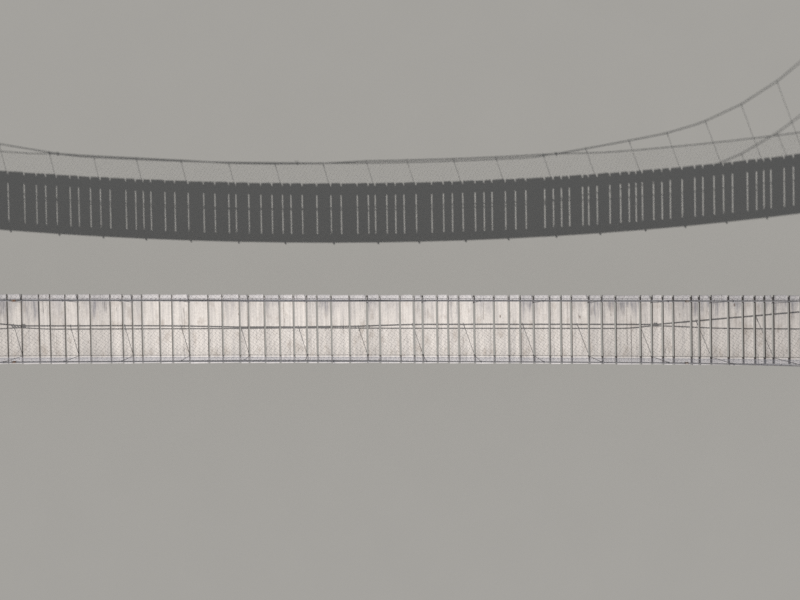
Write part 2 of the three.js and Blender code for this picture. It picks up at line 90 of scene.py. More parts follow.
class Slot(Enum):
    """The record's material slots."""

    BOARDS = "deck_boards"
    TIMBER = "tower_timber"
    WIRE = "galvanised_wire"
    ROPE = "wire_rope"
    STEEL = "cast_steel"
    CONCRETE = "concrete"


class Named(Enum):
    """A choice whose name also stands in the names of nodes."""

    @property
    def label(self) -> str:
        """The name as it stands in the names of nodes."""
        return self.name.lower()


class Side(Named):
    """The two sides of the bridge, by the sign of Y."""

    NORTH = 1
    SOUTH = -1


class End(Named):
    """The two ends of the bridge, by the sign of X."""

    WEST = -1
    EAST = 1


class Weather(Enum):
    """How much blue-grey stain a deck board has taken on."""

    CLEAN = 0.15
    MIXED = 0.6
    STAINED = 1.2


# Shapes and pieces


def moved(x: float = 0.0, y: float = 0.0, z: float = 0.0) -> Matrix:
    """The placement that only moves a shape."""
    return Matrix.Translation((x, y, z))


def facing(place: Vector, outwards: Vector) -> Matrix:
    """The placement of a seat whose local Z points outwards."""
    return moved(*place) @ outwards.to_track_quat("Z", "Y").to_matrix().to_4x4()


def clamped(value: float, low: float = 0.0, high: float = 1.0) -> float:
    """The value, kept between two others."""
    return min(max(value, low), high)


def arc(radius: float, start: float, end: float, steps: int) -> list[Point2]:
    """Points on an arc about the origin, its angles counted from the first axis."""
    angles = [start + (end - start) * i / steps for i in range(steps + 1)]
    return [(radius * math.cos(angle), radius * math.sin(angle)) for angle in angles]


def add_object(name: str, data: bpy.types.ID) -> bpy.types.Object:
    """Puts a new object into the scene.

    Args:
        name: The object's name.
        data: Its mesh, curve, light or camera.

    Returns:
        The object.
    """
    made = bpy.data.objects.new(name, data)
    bpy.context.scene.collection.objects.link(made)
    return made


@dataclass
class Shape:
    """A small mesh in its own coordinates, shaped with bmesh operators."""

    mesh: bmesh.types.BMesh = field(default_factory=bmesh.new)

    @classmethod
    def block(cls, width: float, length: float, height: float) -> "Shape":
        """Makes a box centred on the origin.

        Args:
            width: Its size along local X.
            length: Its size along local Y.
            height: Its size along local Z.

        Returns:
            The box.
        """
        made = cls()
        size = Matrix.Diagonal((width, length, height, 1.0))
        bmesh.ops.create_cube(made.mesh, size=1.0, matrix=size)
        return made

    @classmethod
    def bar(cls, radius: float, length: float, sides: int = 16) -> "Shape":
        """Makes a straight bar along local Z, centred on the origin.

        Args:
            radius: Distance from the axis to its corners.
            length: Its size along local Z.
            sides: Number of sides, 6 for a bolt's head.

        Returns:
            The bar.
        """
        made = cls()
        bmesh.ops.create_cone(made.mesh, cap_ends=True, cap_tris=False, segments=sides,
                              radius1=radius, radius2=radius, depth=length)
        return made

    @classmethod
    def turned(cls, profile: Sequence[Point2], steps: int = 24) -> "Shape":
        """Turns a profile about local Z.

        Args:
            profile: Points of (radius, height), from the axis and back to it.
            steps: Number of steps in the full turn.

        Returns:
            The closed turned shape.
        """
        made = cls()
        points = [made.mesh.verts.new((radius, 0.0, height)) for radius, height in profile]
        edges = [made.mesh.edges.new(pair) for pair in zip(points, points[1:])]
        bmesh.ops.spin(made.mesh, geom=points + edges, cent=(0, 0, 0), axis=(0, 0, 1),
                       dvec=(0, 0, 0), angle=FULL_TURN, steps=steps, use_merge=True)
        bmesh.ops.remove_doubles(made.mesh, verts=made.mesh.verts, dist=SAME_PLACE)
        bmesh.ops.recalc_face_normals(made.mesh, faces=made.mesh.faces)
        return made

    @classmethod
    def plate(cls, outline: Sequence[Point2], thickness: float) -> "Shape":
        """Makes a flat outline thick along local Y, centred on Y = 0.

        Args:
            outline: Corners of (x, z), in order.
            thickness: Size along local Y.

        Returns:
            The plate.
        """
        made = cls()
        corners = [made.mesh.verts.new((x, -thickness / 2, z)) for x, z in outline]
        face = made.mesh.faces.new(corners)
        grown = bmesh.ops.extrude_face_region(made.mesh, geom=[face])["geom"]
        far_side = [item for item in grown if isinstance(item, bmesh.types.BMVert)]
        bmesh.ops.translate(made.mesh, vec=(0, thickness, 0), verts=far_side)
        bmesh.ops.recalc_face_normals(made.mesh, faces=made.mesh.faces)
        return made

    def cut(self, axis: int, places: Iterable[float]) -> "Shape":
        """Cuts the faces with planes square to an axis.

        Args:
            axis: 0 for X, 1 for Y, 2 for Z.
            places: Where the planes stand on that axis.

        Returns:
            The same shape.
        """
        normal = Vector((0, 0, 0))
        normal[axis] = 1.0
        for place in places:
            geometry = [*self.mesh.verts, *self.mesh.edges, *self.mesh.faces]
            bmesh.ops.bisect_plane(self.mesh, geom=geometry, dist=SAME_PLACE,
                                   plane_co=normal * place, plane_no=normal)
        return self

    def divide(self, axis: int, size: float, parts: int) -> "Shape":
        """Cuts the faces of a centred shape into equal parts along an axis, and returns it."""
        return self.cut(axis, [size * (i / parts - 0.5) for i in range(1, parts)])

    def bevel(self, width: float, segments: int = 2,
              chosen: Callable[[bmesh.types.BMEdge], bool] | None = None) -> "Shape":
        """Rounds the sharp edges.

        Args:
            width: How far the rounding reaches from each edge.
            segments: Number of faces across it.
            chosen: Says which of the sharp edges, or None for all of them.

        Returns:
            The same shape.
        """
        edges = [edge for edge in self.mesh.edges
                 if edge.is_manifold and edge.calc_face_angle() > SHARP_EDGE
                 and (chosen is None or chosen(edge))]
        bmesh.ops.bevel(self.mesh, geom=edges, offset=width, offset_type="OFFSET",
                        segments=segments, profile=0.5, affect="EDGES", material=-1,
                        clamp_overlap=True)
        return self

    def bend(self, move: Callable[[Vector], Vector]) -> "Shape":
        """Moves each vertex to where a function of its place says, and returns the shape."""
        for vertex in self.mesh.verts:
            vertex.co = move(vertex.co.copy())
        return self

    def place(self, matrix: Matrix) -> "Shape":
        """Transforms the whole shape by a matrix, and returns the shape."""
        bmesh.ops.transform(self.mesh, matrix=matrix, verts=self.mesh.verts)
        return self

    def keep_places(self) -> "Shape":
        """Keeps each vertex's present place for the material, and returns the shape."""
        if self.mesh.verts.layers.float_vector.get(LOCAL) is None:
            local = self.mesh.verts.layers.float_vector.new(LOCAL)
            for vertex in self.mesh.verts:
                vertex[local] = vertex.co
        return self


@dataclass
class Piece:
    """One piece of the scene, gathered shape by shape into one mesh."""

    name: str
    slot: Slot
    finish: Material
    gathered: bmesh.types.BMesh = field(default_factory=bmesh.new)

    MARKS = ("seed", "tone", "stain", "half")

    def __post_init__(self) -> None:
        """Readies the mesh for the shapes' own coordinates and marks."""
        self.gathered.verts.layers.float_vector.new(LOCAL)
        for mark in self.MARKS:
            self.gathered.verts.layers.float.new(mark)

    def gather(self, shape: Shape, where: Matrix = Matrix(), **marks: float) -> None:
        """Adds a shape, and keeps its own coordinates and marks for the material.

        Args:
            shape: The shape, which is used up.
            where: Its place in the bridge.
            **marks: Numbers such as seed and tone that the material reads.
        """
        mesh = shape.keep_places().mesh
        layers = {mark: mesh.verts.layers.float.new(mark) for mark in self.MARKS}
        for vertex in mesh.verts:
            for mark, layer in layers.items():
                vertex[layer] = marks.get(mark, 0.0)
        bmesh.ops.transform(mesh, matrix=where, verts=mesh.verts)
        passed = bpy.data.meshes.new("passed")
        mesh.to_mesh(passed)
        mesh.free()
        self.gathered.from_mesh(passed)
        bpy.data.meshes.remove(passed)

    def complete(self, *nodes: str) -> bpy.types.Object:
        """Puts the gathered mesh in the scene.

        Args:
            *nodes: CAD nodes that the piece stands for.

        Returns:
            The piece's object.
        """
        mesh = bpy.data.meshes.new(self.name)
        self.gathered.to_mesh(mesh)
        self.gathered.free()
        return dress(self.name, mesh, self.slot, self.finish, nodes)


def dress(name: str, mesh: bpy.types.Mesh, slot: Slot, finish: Material,
          nodes: Sequence[str] = ()) -> bpy.types.Object:
    """Puts a finished mesh in the scene as a piece of the bridge.

    Args:
        name: The piece's name.
        mesh: The mesh, already in place.
        slot: The record's slot that it takes its finish from; not used.
        finish: Its material.
        nodes: CAD nodes that it stands for.

    Returns:
        The piece's object.
    """
    mesh.shade_smooth()
    mesh.set_sharp_from_angle(angle=SHARP_EDGE)
    mesh.materials.clear()
    mesh.materials.append(finish)
    piece = add_object(name, mesh)
    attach(piece, "root")
    if nodes:
        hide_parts(*nodes)
    triangles = sum(len(polygon.vertices) - 2 for polygon in mesh.polygons)
    log.info("%s: %d triangles", name, triangles)
    return piece


# Wires and ropes


def mesh_of(curve: bpy.types.Curve) -> bpy.types.Mesh:
    """Turns a curve into a mesh, and removes the curve.

    Args:
        curve: The curve, with its thickness set.

    Returns:
        Its mesh.
    """
    carrier = add_object("carrier", curve)
    graph = bpy.context.evaluated_depsgraph_get()
    mesh = bpy.data.meshes.new_from_object(carrier.evaluated_get(graph))
    bpy.data.objects.remove(carrier)
    bpy.data.curves.remove(curve)
    return mesh


def add_spline(curve: bpy.types.Curve, path: Iterable[Sequence[float]],
               closed: bool = False) -> bpy.types.Spline:
    """Adds straight stretches along a path to a curve.

    Args:
        curve: The curve.
        path: The corners of the path.
        closed: Whether its end joins its start.

    Returns:
        The stretches as one spline.
    """
    points = [(*corner, 1) for corner in path]
    spline = curve.splines.new("POLY")
    spline.points.add(len(points) - 1)
    spline.points.foreach_set("co", [value for point in points for value in point])
    spline.use_cyclic_u = closed
    return spline


def evenly_spaced(path: Sequence[Vector], step: float) -> list[Vector]:
    """Finds points at even distances along a path of straight stretches.

    Args:
        path: The path's corners.
        step: About how far apart the points are.

    Returns:
        The points, the path's two ends included.
    """
    lengths = [(b - a).length for a, b in zip(path, path[1:])]
    count = max(1, round(sum(lengths) / step))
    spacing = sum(lengths) / count
    points, index, passed = [], 0, 0.0
    for i in range(count):
        while i * spacing > passed + lengths[index]:
            passed += lengths[index]
            index += 1
        share = (i * spacing - passed) / lengths[index]
        points.append(path[index].lerp(path[index + 1], share))
    return [*points, path[-1]]


@dataclass
class WireWork:
    """Plain wires and rods that follow paths, gathered in one curve."""

    radius: float
    rounding: int = 0
    paths: list[tuple[list[Vector], bool]] = field(default_factory=list)

    def add(self, path: Sequence[Vector], closed: bool = False) -> None:
        """Adds a wire along a path, open or closed."""
        self.paths.append((list(path), closed))

    def add_ring(self, centre: Vector, radius: float, axis: Vector, steps: int = 8) -> None:
        """Adds a closed ring of wire.

        Args:
            centre: Its middle.
            radius: From its middle to the middle of the wire.
            axis: The direction that its plane is square to.
            steps: Number of straight stretches in it.
        """
        turn = axis.to_track_quat("Z", "Y")
        corners = arc(radius, 0, FULL_TURN, steps)[:-1]
        self.add([centre + turn @ Vector((*corner, 0)) for corner in corners], closed=True)

    def mesh(self) -> bpy.types.Mesh:
        """Makes all the wires in one mesh."""
        curve = bpy.data.curves.new("wires", "CURVE")
        curve.dimensions = "3D"
        curve.bevel_depth = self.radius
        curve.bevel_resolution = self.rounding
        curve.use_fill_caps = True
        for path, closed in self.paths:
            add_spline(curve, path, closed)
        return mesh_of(curve)


@dataclass(frozen=True)
class TwistedRope:
    """A rope of strands laid round each other."""

    radius: float
    strands: int = 6
    lay: float = 0.26
    step: float = 0.02
    valley: float = 0.8

    def section(self) -> bpy.types.Object:
        """Makes the rope's lobed section as a closed curve."""
        curve = bpy.data.curves.new("section", "CURVE")
        ridges, valleys = (arc(radius, 0, FULL_TURN, 2 * self.strands)
                           for radius in (self.radius, self.radius * self.valley))
        corners = [pair[i % 2] for i, pair in enumerate(zip(ridges, valleys))][:-1]
        add_spline(curve, [(*corner, 0) for corner in corners], closed=True)
        return bpy.data.objects.new("section", curve)

    def mesh(self, path: Sequence[Vector]) -> bpy.types.Mesh:
        """Lays the rope along a path.

        Args:
            path: Corners of the path.

        Returns:
            The rope's mesh.
        """
        points = evenly_spaced(path, self.step)
        section = self.section()
        curve = bpy.data.curves.new("rope", "CURVE")
        curve.dimensions = "3D"
        curve.bevel_mode = "OBJECT"
        curve.bevel_object = section
        curve.use_fill_caps = True
        curve.twist_mode = "Z_UP"
        for i, point in enumerate(add_spline(curve, points).points):
            point.tilt = FULL_TURN * i * self.step / self.lay
        mesh = mesh_of(curve)
        outline = section.data
        bpy.data.objects.remove(section)
        bpy.data.curves.remove(outline)
        return mesh


# Finishes


class Painter:
    """A node material in the making."""

    SEED_SHIFT = 13.7
    BUMP_STRENGTH = 0.6

    def __init__(self, name: str, roughness: float, metallic: float = 0.0) -> None:
        """Starts a material with its plain values set on the shader.

        Args:
            name: The material's name.
            roughness: The roughness where no node says another.
            metallic: How metallic it is.
        """
        self.material = bpy.data.materials.new(name)
        self.material.use_nodes = True
        self.tree = self.material.node_tree
        self.shader = self.tree.nodes["Principled BSDF"]
        self.shader.inputs["Roughness"].default_value = roughness
        self.shader.inputs["Metallic"].default_value = metallic

    def node(self, kind: str, inputs: dict[int | str, Value | Sequence[float]],
             output: int | str = 0, **settings: str) -> Socket:
        """Adds a node.

        Args:
            kind: The node's type, without its ShaderNode prefix.
            inputs: Sockets by name or number, with a value or a socket to link from.
            output: The output that is wanted.
            **settings: Properties of the node.

        Returns:
            The wanted output socket.
        """
        made = self.tree.nodes.new("ShaderNode" + kind)
        for key, value in settings.items():
            setattr(made, key, value)
        for key, value in inputs.items():
            if isinstance(value, Socket):
                self.tree.links.new(value, made.inputs[key])
            else:
                made.inputs[key].default_value = value
        return made.outputs[output]

    def sum(self, first: Value, second: Value, operation: str = "ADD") -> Socket:
        """Combines two numbers by one of the math node's operations."""
        return self.node("Math", {0: first, 1: second}, operation=operation)

    def times(self, first: Value, second: Value) -> Socket:
        """Multiplies two numbers."""
        return self.sum(first, second, "MULTIPLY")

    def less(self, first: Value, second: Value) -> Socket:
        """Takes the second number from the first."""
        return self.sum(first, second, "SUBTRACT")

    def most(self, first: Value, second: Value) -> Socket:
        """The greater of two numbers."""
        return self.sum(first, second, "MAXIMUM")

    def unsigned(self, value: Socket) -> Socket:
        """A number without its sign."""
        return self.node("Math", {0: value}, operation="ABSOLUTE")

    def part(self, place: Socket, axis: int) -> Socket:
        """One of a place's three numbers, 0 for X, 1 for Y and 2 for Z."""
        return self.node("SeparateXYZ", {0: place}, axis)

    def stepped(self, value: Value, low: float, high: float, start: float = 0.0,
                end: float = 1.0) -> Socket:
        """Turns the range from low to high smoothly into the range from start to end."""
        return self.node("MapRange", {"Value": value, "From Min": low, "From Max": high,
                                      "To Min": start, "To Max": end},
                         interpolation_type="SMOOTHSTEP")

    def mark(self, name: str) -> Socket:
        """The socket of one of the mesh's float marks."""
        return self.node("Attribute", {}, "Fac", attribute_name=name)

    def local_place(self) -> Socket:
        """The shape's own coordinates."""
        return self.node("Attribute", {}, "Vector", attribute_name=LOCAL)

    def own_place(self) -> Socket:
        """The shape's own coordinates, shifted by its seed so that no two look alike."""
        shift = self.times(self.mark("seed"), self.SEED_SHIFT)
        away = self.node("CombineXYZ", {0: shift, 2: shift})
        return self.node("VectorMath", {0: self.local_place(), 1: away}, operation="ADD")

    def object_place(self) -> Socket:
        """Object coordinates, which are the bridge's own."""
        return self.node("TexCoord", {}, "Object")

    def stretched(self, place: Socket, along: Sequence[float]) -> Socket:
        """Multiplies a place by a scale for each axis."""
        return self.node("VectorMath", {0: place, 1: tuple(along)}, operation="MULTIPLY")

    def cloud(self, place: Socket, scale: float | Sequence[float], detail: float = 3.0,
              roughness: float = 0.55) -> Socket:
        """A noise value between 0 and 1, with one scale or one for each axis."""
        if not isinstance(scale, (int, float)):
            place, scale = self.stretched(place, scale), 1.0
        return self.node("TexNoise", {"Vector": place, "Scale": scale, "Detail": detail,
                                      "Roughness": roughness})

    def blend(self, factor: Value, first: Tint, second: Tint, mode: str = "MIX") -> Socket:
        """Lays the second colour over the first, by a factor and a blend type."""
        full = [(*value, 1.0) if isinstance(value, tuple) else value for value in (first, second)]
        return self.node("Mix", {0: factor, 6: full[0], 7: full[1]}, 2, data_type="RGBA",
                         blend_type=mode)

    def fine_line(self, value: Socket, middle: float, width: float) -> Socket:
        """A mask that is 1 where a number is at the middle, and 0 a width away from it."""
        return self.stepped(self.unsigned(self.less(value, middle)), 0.0, width, 1.0, 0.0)

    def finish(self, colour: Socket, height: Socket | None = None, depth: float = 0.001,
               roughness: Socket | None = None) -> Material:
        """Links the colour, bump and roughness to the shader.

        Args:
            colour: The base colour's socket.
            height: The bump's socket, between 0 and 1, or None for no bump.
            depth: Metres of bump between 0 and 1.
            roughness: A socket, or None to keep the plain value.

        Returns:
            The material.
        """
        self.tree.links.new(colour, self.shader.inputs["Base Color"])
        if height is not None:
            bump = self.node("Bump", {"Height": height, "Distance": depth,
                                      "Strength": self.BUMP_STRENGTH})
            self.tree.links.new(bump, self.shader.inputs["Normal"])
        if roughness is not None:
            self.tree.links.new(roughness, self.shader.inputs["Roughness"])
        return self.material


@dataclass(frozen=True)
class WeatheredBoards:
    """Bare deck boards, bleached by the sun, with stains that run down from the north ends."""

    pale: Colour = (0.70, 0.645, 0.60)
    dull: Colour = (0.565, 0.525, 0.495)
    stain: Colour = (0.215, 0.21, 0.235)
    # Painted lilac-grey shade of the netting on the board ends.
    rinsed: Colour = (0.655, 0.635, 0.66)
    brown: Colour = (0.36, 0.30, 0.25)
    crack: Colour = (0.10, 0.085, 0.075)
    knot: Colour = (0.16, 0.11, 0.085)

    def material(self) -> Material:
        """Makes the material."""
        paint = Painter("weathered_boards", roughness=0.88)
        place, local = paint.own_place(), paint.local_place()
        across, along = paint.part(local, 0), paint.part(local, 1)
        grain = paint.cloud(place, (150.0, 5.0, 60.0), 4.0)
        bands = paint.cloud(place, (26.0, 0.9, 12.0), 3.0)
        patches = paint.cloud(place, (7.0, 4.0, 4.0), 3.0)
        colour = paint.blend(paint.stepped(bands, 0.35, 0.68), self.pale, self.dull)
        colour = paint.blend(paint.stepped(patches, 0.50, 0.78, 0.0, 0.5), colour, self.brown)
        colour = paint.blend(paint.stepped(grain, 0.52, 0.72, 0.0, 0.30), colour, self.dull)
        colour = paint.blend(self.stain_mask(paint, place, along), colour, self.stain)
        # Board ends beyond the netting take a lilac-grey painted shade of the netting.
        beyond_netting_shade = paint.stepped(paint.unsigned(along), 0.45, 0.50, 0.0, 0.5)
        colour = paint.blend(beyond_netting_shade, colour, self.rinsed)
        cracks = self.crack_mask(paint, place)
        colour = paint.blend(paint.times(cracks, 0.75), colour, self.crack)
        knots = self.knot_mask(paint, place)
        colour = paint.blend(paint.times(knots, 0.85), colour, self.knot)
        # The long edges and side faces take the crack colour as painted shade of the gaps, with
        # dirt.
        colour = paint.blend(self.edge_mask(paint, across, along), colour, self.crack)
        tone = self.tone(paint, place, along)
        shade = paint.node("CombineColor", {0: tone, 1: tone, 2: tone})
        colour = paint.blend(1.0, colour, shade, "MULTIPLY")
        ridges = paint.cloud(place, (260.0, 6.0, 90.0), 3.0)
        return paint.finish(colour, paint.less(paint.times(ridges, 0.5), cracks), depth=0.0016)

    def tone(self, paint: Painter, place: Socket, along: Socket) -> Socket:
        """How light a board is, speckled, and darker in a band of painted shade inside the south
        netting, where the netting's foot casts its shadow.
        """
        specks = paint.cloud(place, (64.0, 34.0, 40.0), 3.0, 0.6)
        specks = paint.sum(paint.times(specks, 0.7), 0.65)
        # The band from 0.26 to 0.48 m south of the board's middle is painted shade of the netting's
        # foot.
        foot = paint.most(paint.stepped(along, -0.48, -0.44, 1.0, 0.91),
                          paint.stepped(along, -0.44, -0.26, 0.91, 1.0))
        return paint.times(paint.times(paint.mark("tone"), specks), foot)

    def stain_mask(self, paint: Painter, place: Socket, along: Socket) -> Socket:
        """Streaks below the rain-washed north end, and a few at the south end.

        Args:
            paint: The material in the making.
            place: The shape's own coordinates, shifted.
            along: Distance along the board from its middle, towards the north.

        Returns:
            The mask's socket.
        """
        streaks = paint.cloud(place, (42.0, 1.4, 10.0), 5.0, 0.62)
        wandering = paint.cloud(place, (9.0, 2.2, 4.0), 3.0)
        reach = paint.sum(along, paint.times(paint.less(wandering, 0.5), 0.9))
        north = paint.stepped(reach, -0.05, 0.62)
        south = paint.stepped(paint.times(along, -1.0), 0.36, 0.62, 0.0, 0.35)
        spread = paint.most(north, south)
        dark = paint.stepped(paint.sum(streaks, paint.times(spread, 0.34)), 0.58, 0.92)
        soft = paint.times(spread, 0.36)
        both = paint.times(paint.most(paint.times(dark, 0.7), soft), spread)
        washed = paint.times(both, paint.stepped(along, 0.46, 0.54, 1.0, 0.3))
        return paint.sum(paint.times(washed, paint.mark("stain")), 1.0, "MINIMUM")

    def crack_mask(self, paint: Painter, place: Socket) -> Socket:
        """Fine cracks along the grain, in patches."""
        lines = paint.fine_line(paint.cloud(place, (30.0, 0.55, 9.0), 2.0), 0.5, 0.012)
        patches = paint.stepped(paint.cloud(place, (5.0, 1.6, 2.0), 2.0), 0.54, 0.62)
        return paint.times(lines, patches)

    def knot_mask(self, paint: Painter, place: Socket) -> Socket:
        """Small dark knots, drawn out along the grain."""
        spaced = paint.stretched(place, (6.5, 2.6, 1.0))
        distance = paint.node("TexVoronoi", {"Vector": spaced, "Scale": 1.0}, "Distance")
        cell = paint.node("TexVoronoi", {"Vector": spaced, "Scale": 1.0}, "Color")
        chance = paint.node("SeparateColor", {0: cell}, 0)
        present = paint.stepped(chance, 0.78, 0.80)
        return paint.times(paint.stepped(distance, 0.045, 0.10, 1.0, 0.0), present)

    def edge_mask(self, paint: Painter, across: Socket, along: Socket) -> Socket:
        """Painted shade and dirt on the board's long edges and side faces, towards the gaps, and
        dirt at its ends.

        Args:
            paint: The material in the making.
            across: Distance across the board from its middle.
            along: Distance along the board from its middle.

        Returns:
            The mask's socket.
        """
        to_edge = paint.less(paint.mark("half"), paint.unsigned(across))
        # Within 5 mm of the long edges, and on the side faces, the darkening is painted shade of
        # the gaps together with dirt.
        edge = paint.stepped(to_edge, 0.0, 0.005, 0.45, 0.0)
        return paint.most(edge, paint.stepped(paint.unsigned(along), 0.572, 0.59, 0.0, 0.15))


@dataclass(frozen=True)
class RoughTimber:
    """Heavy rough-sawn timber gone dull brown grey."""

    name: str = "rough_timber"
    pale: Colour = (0.36, 0.315, 0.265)
    dark: Colour = (0.17, 0.14, 0.115)
    moss: Colour = (0.16, 0.165, 0.12)
    crack: Colour = (0.05, 0.042, 0.036)

    def material(self) -> Material:
        """Makes the material, whose grain runs along local Y."""
        paint = Painter(self.name, roughness=0.9)
        place = paint.own_place()
        grain = paint.cloud(place, (90.0, 3.0, 90.0), 5.0, 0.6)
        bands = paint.cloud(place, (14.0, 0.5, 14.0), 3.0)
        colour = paint.blend(paint.stepped(bands, 0.35, 0.65), self.pale, self.dark)
        colour = paint.blend(paint.stepped(grain, 0.48, 0.72, 0.0, 0.6), colour, self.dark)
        damp = paint.stepped(paint.cloud(place, 2.6, 5.0, 0.65), 0.56, 0.76, 0.0, 0.55)
        colour = paint.blend(damp, colour, self.moss)
        lines = paint.fine_line(paint.cloud(place, (22.0, 0.35, 22.0), 2.0), 0.5, 0.012)
        patches = paint.stepped(paint.cloud(place, (4.0, 0.8, 4.0), 2.0), 0.50, 0.60)
        cracks = paint.times(lines, patches)
        colour = paint.blend(paint.times(cracks, 0.9), colour, self.crack)
        return paint.finish(colour, paint.less(paint.times(grain, 0.6), cracks), depth=0.003)


@dataclass(frozen=True)
class DullMetal:
    """Bare metal with a mottled coat and some rust."""

    name: str
    bright: Colour
    dark: Colour
    rust: Colour = (0.19, 0.085, 0.04)
    rust_share: float = 0.3
    mottle: float = 60.0
    roughness: float = 0.5
    metallic: float = 0.7
    depth: float = 0.0004

    def material(self) -> Material:
        """Makes the material."""
        paint = Painter(self.name, self.roughness, self.metallic)
        place = paint.object_place()
        mottle = paint.cloud(place, self.mottle, 4.0, 0.6)
        colour = paint.blend(paint.stepped(mottle, 0.35, 0.65), self.bright, self.dark)
        blooms = paint.cloud(place, self.mottle * 0.3, 5.0, 0.7)
        start = 0.72 - 0.3 * self.rust_share
        rust = paint.stepped(blooms, start, start + 0.12, 0.0, 0.85)
        colour = paint.blend(rust, colour, self.rust)
        rough = paint.stepped(blooms, start, start + 0.12, self.roughness, 0.9)
        return paint.finish(colour, mottle, depth=self.depth, roughness=rough)


@dataclass(frozen=True)
class WeatheredConcrete:
    """Cast concrete with form-board lines, pores, damp at its foot and run marks."""

    pale: Colour = (0.50, 0.475, 0.43)
    dark: Colour = (0.31, 0.295, 0.265)
    damp: Colour = (0.16, 0.155, 0.125)
    board: float = 0.14

    def material(self) -> Material:
        """Makes the material."""
        paint = Painter("weathered_concrete", roughness=0.93)
        place = paint.object_place()
        patches = paint.cloud(place, 3.5, 5.0, 0.65)
        grit = paint.cloud(place, 170.0, 3.0)
        height_up = paint.part(place, 2)
        colour = paint.blend(paint.stepped(patches, 0.35, 0.70), self.pale, self.dark)
        colour = paint.blend(paint.stepped(grit, 0.50, 0.75, 0.0, 0.45), colour, self.dark)
        foot = paint.less(height_up, paint.times(patches, 0.25))
        colour = paint.blend(paint.stepped(foot, -0.08, 0.10, 0.75, 0.0), colour, self.damp)
        streaks = paint.cloud(place, (11.0, 11.0, 0.7), 4.0, 0.6)
        colour = paint.blend(paint.stepped(streaks, 0.55, 0.75, 0.0, 0.55), colour, self.dark)
        course = paint.sum(height_up, self.board, "PINGPONG")
        joint = paint.stepped(course, 0.0, 0.006, 1.0, 0.0)
        colour = paint.blend(paint.times(joint, 0.4), colour, self.dark)
        pores = paint.stepped(paint.cloud(place, 55.0, 2.0), 0.30, 0.38, 1.0, 0.0)
        height = paint.less(paint.times(grit, 0.4), paint.most(joint, pores))
        return paint.finish(colour, height, depth=0.003)


class Finishes:
    """All the bridge's materials."""

    def __init__(self) -> None:
        """Makes each of them once."""
        self.boards = WeatheredBoards().material()
        self.timber = RoughTimber().material()
        self.concrete = WeatheredConcrete().material()
        self.stringers = RoughTimber(
            "stringer_timber", pale=(0.46, 0.44, 0.43), dark=(0.27, 0.25, 0.24),
            moss=(0.25, 0.25, 0.22)).material()
        self.netting = DullMetal(
            "galvanised_netting", bright=(0.46, 0.46, 0.50), dark=(0.27, 0.27, 0.31),
            rust_share=0.25, roughness=0.55, metallic=0.55).material()
        self.edge_rope = DullMetal(
            "dull_edge_rope", bright=(0.30, 0.295, 0.31), dark=(0.19, 0.185, 0.20),
            rust_share=0.1, roughness=0.6, metallic=0.3).material()
        self.rope = DullMetal(
            "dark_wire_rope", bright=(0.24, 0.235, 0.24), dark=(0.11, 0.105, 0.11),
            rust_share=0.35, mottle=90.0, roughness=0.55, metallic=0.5).material()
        self.steel = DullMetal(
            "rusty_cast_steel", bright=(0.24, 0.215, 0.20), dark=(0.13, 0.11, 0.10),
            rust_share=0.9, mottle=45.0, roughness=0.62, metallic=0.55, depth=0.001).material()
        self.fittings = DullMetal(
            "dull_zinc_fittings", bright=(0.40, 0.40, 0.41), dark=(0.24, 0.235, 0.24),
            rust_share=0.55, mottle=80.0, roughness=0.5, metallic=0.7).material()


# The line of the bridge and its bays


@dataclass(frozen=True)
class DeckLine:
    """The parabola in which the top of the boards hangs."""

    midspan_height: float = 2.45
    sag_rate: float = 0.0059
    end: float = 12.265

    def height(self, x: float) -> float:
        """Height of the boards' top at x."""
        return self.midspan_height + self.sag_rate * x * x

    def slope(self, x: float) -> float:
        """Rise per metre along the bridge at x."""
        return 2 * self.sag_rate * x

    def point(self, x: float, y: float = 0.0, rise: float = 0.0) -> Vector:
        """Finds a point above the boards.

        Args:
            x: Place along the bridge.
            y: Place across it.
            rise: Distance from the boards' top, square to the deck.

        Returns:
            The point.
        """
        slope = self.slope(x)
        run = math.hypot(1, slope)
        return Vector((x - rise * slope / run, y, self.height(x) + rise / run))

    def stand(self, x: float, y: float = 0.0, rise: float = 0.0) -> Matrix:
        """The placement of a shape that lies on the deck at a point, tilted with the deck."""
        tilt = Matrix.Rotation(-math.atan(self.slope(x)), 4, "Y")
        return Matrix.Translation(self.point(x, y, rise)) @ tilt


@dataclass(frozen=True)
class Board:
    """One deck board's place in the row."""

    start: float
    room: float
    count: int

    @property
    def middle(self) -> float:
        """Place of the middle of the board's room."""
        return self.start + self.room / 2

    def unevenness(self, ahead: int = 0) -> float:
        """A small repeatable number between -1 and 1, the board's own or of one ahead."""
        return (((self.count + ahead) * 7) % 5) / 2 - 1


@dataclass
class Section:
    """One deck section: its boards, and the bay lines from its first to its last."""

    number: int
    boards: list[Board] = field(default_factory=list)
    lines: list[float] = field(default_factory=list)


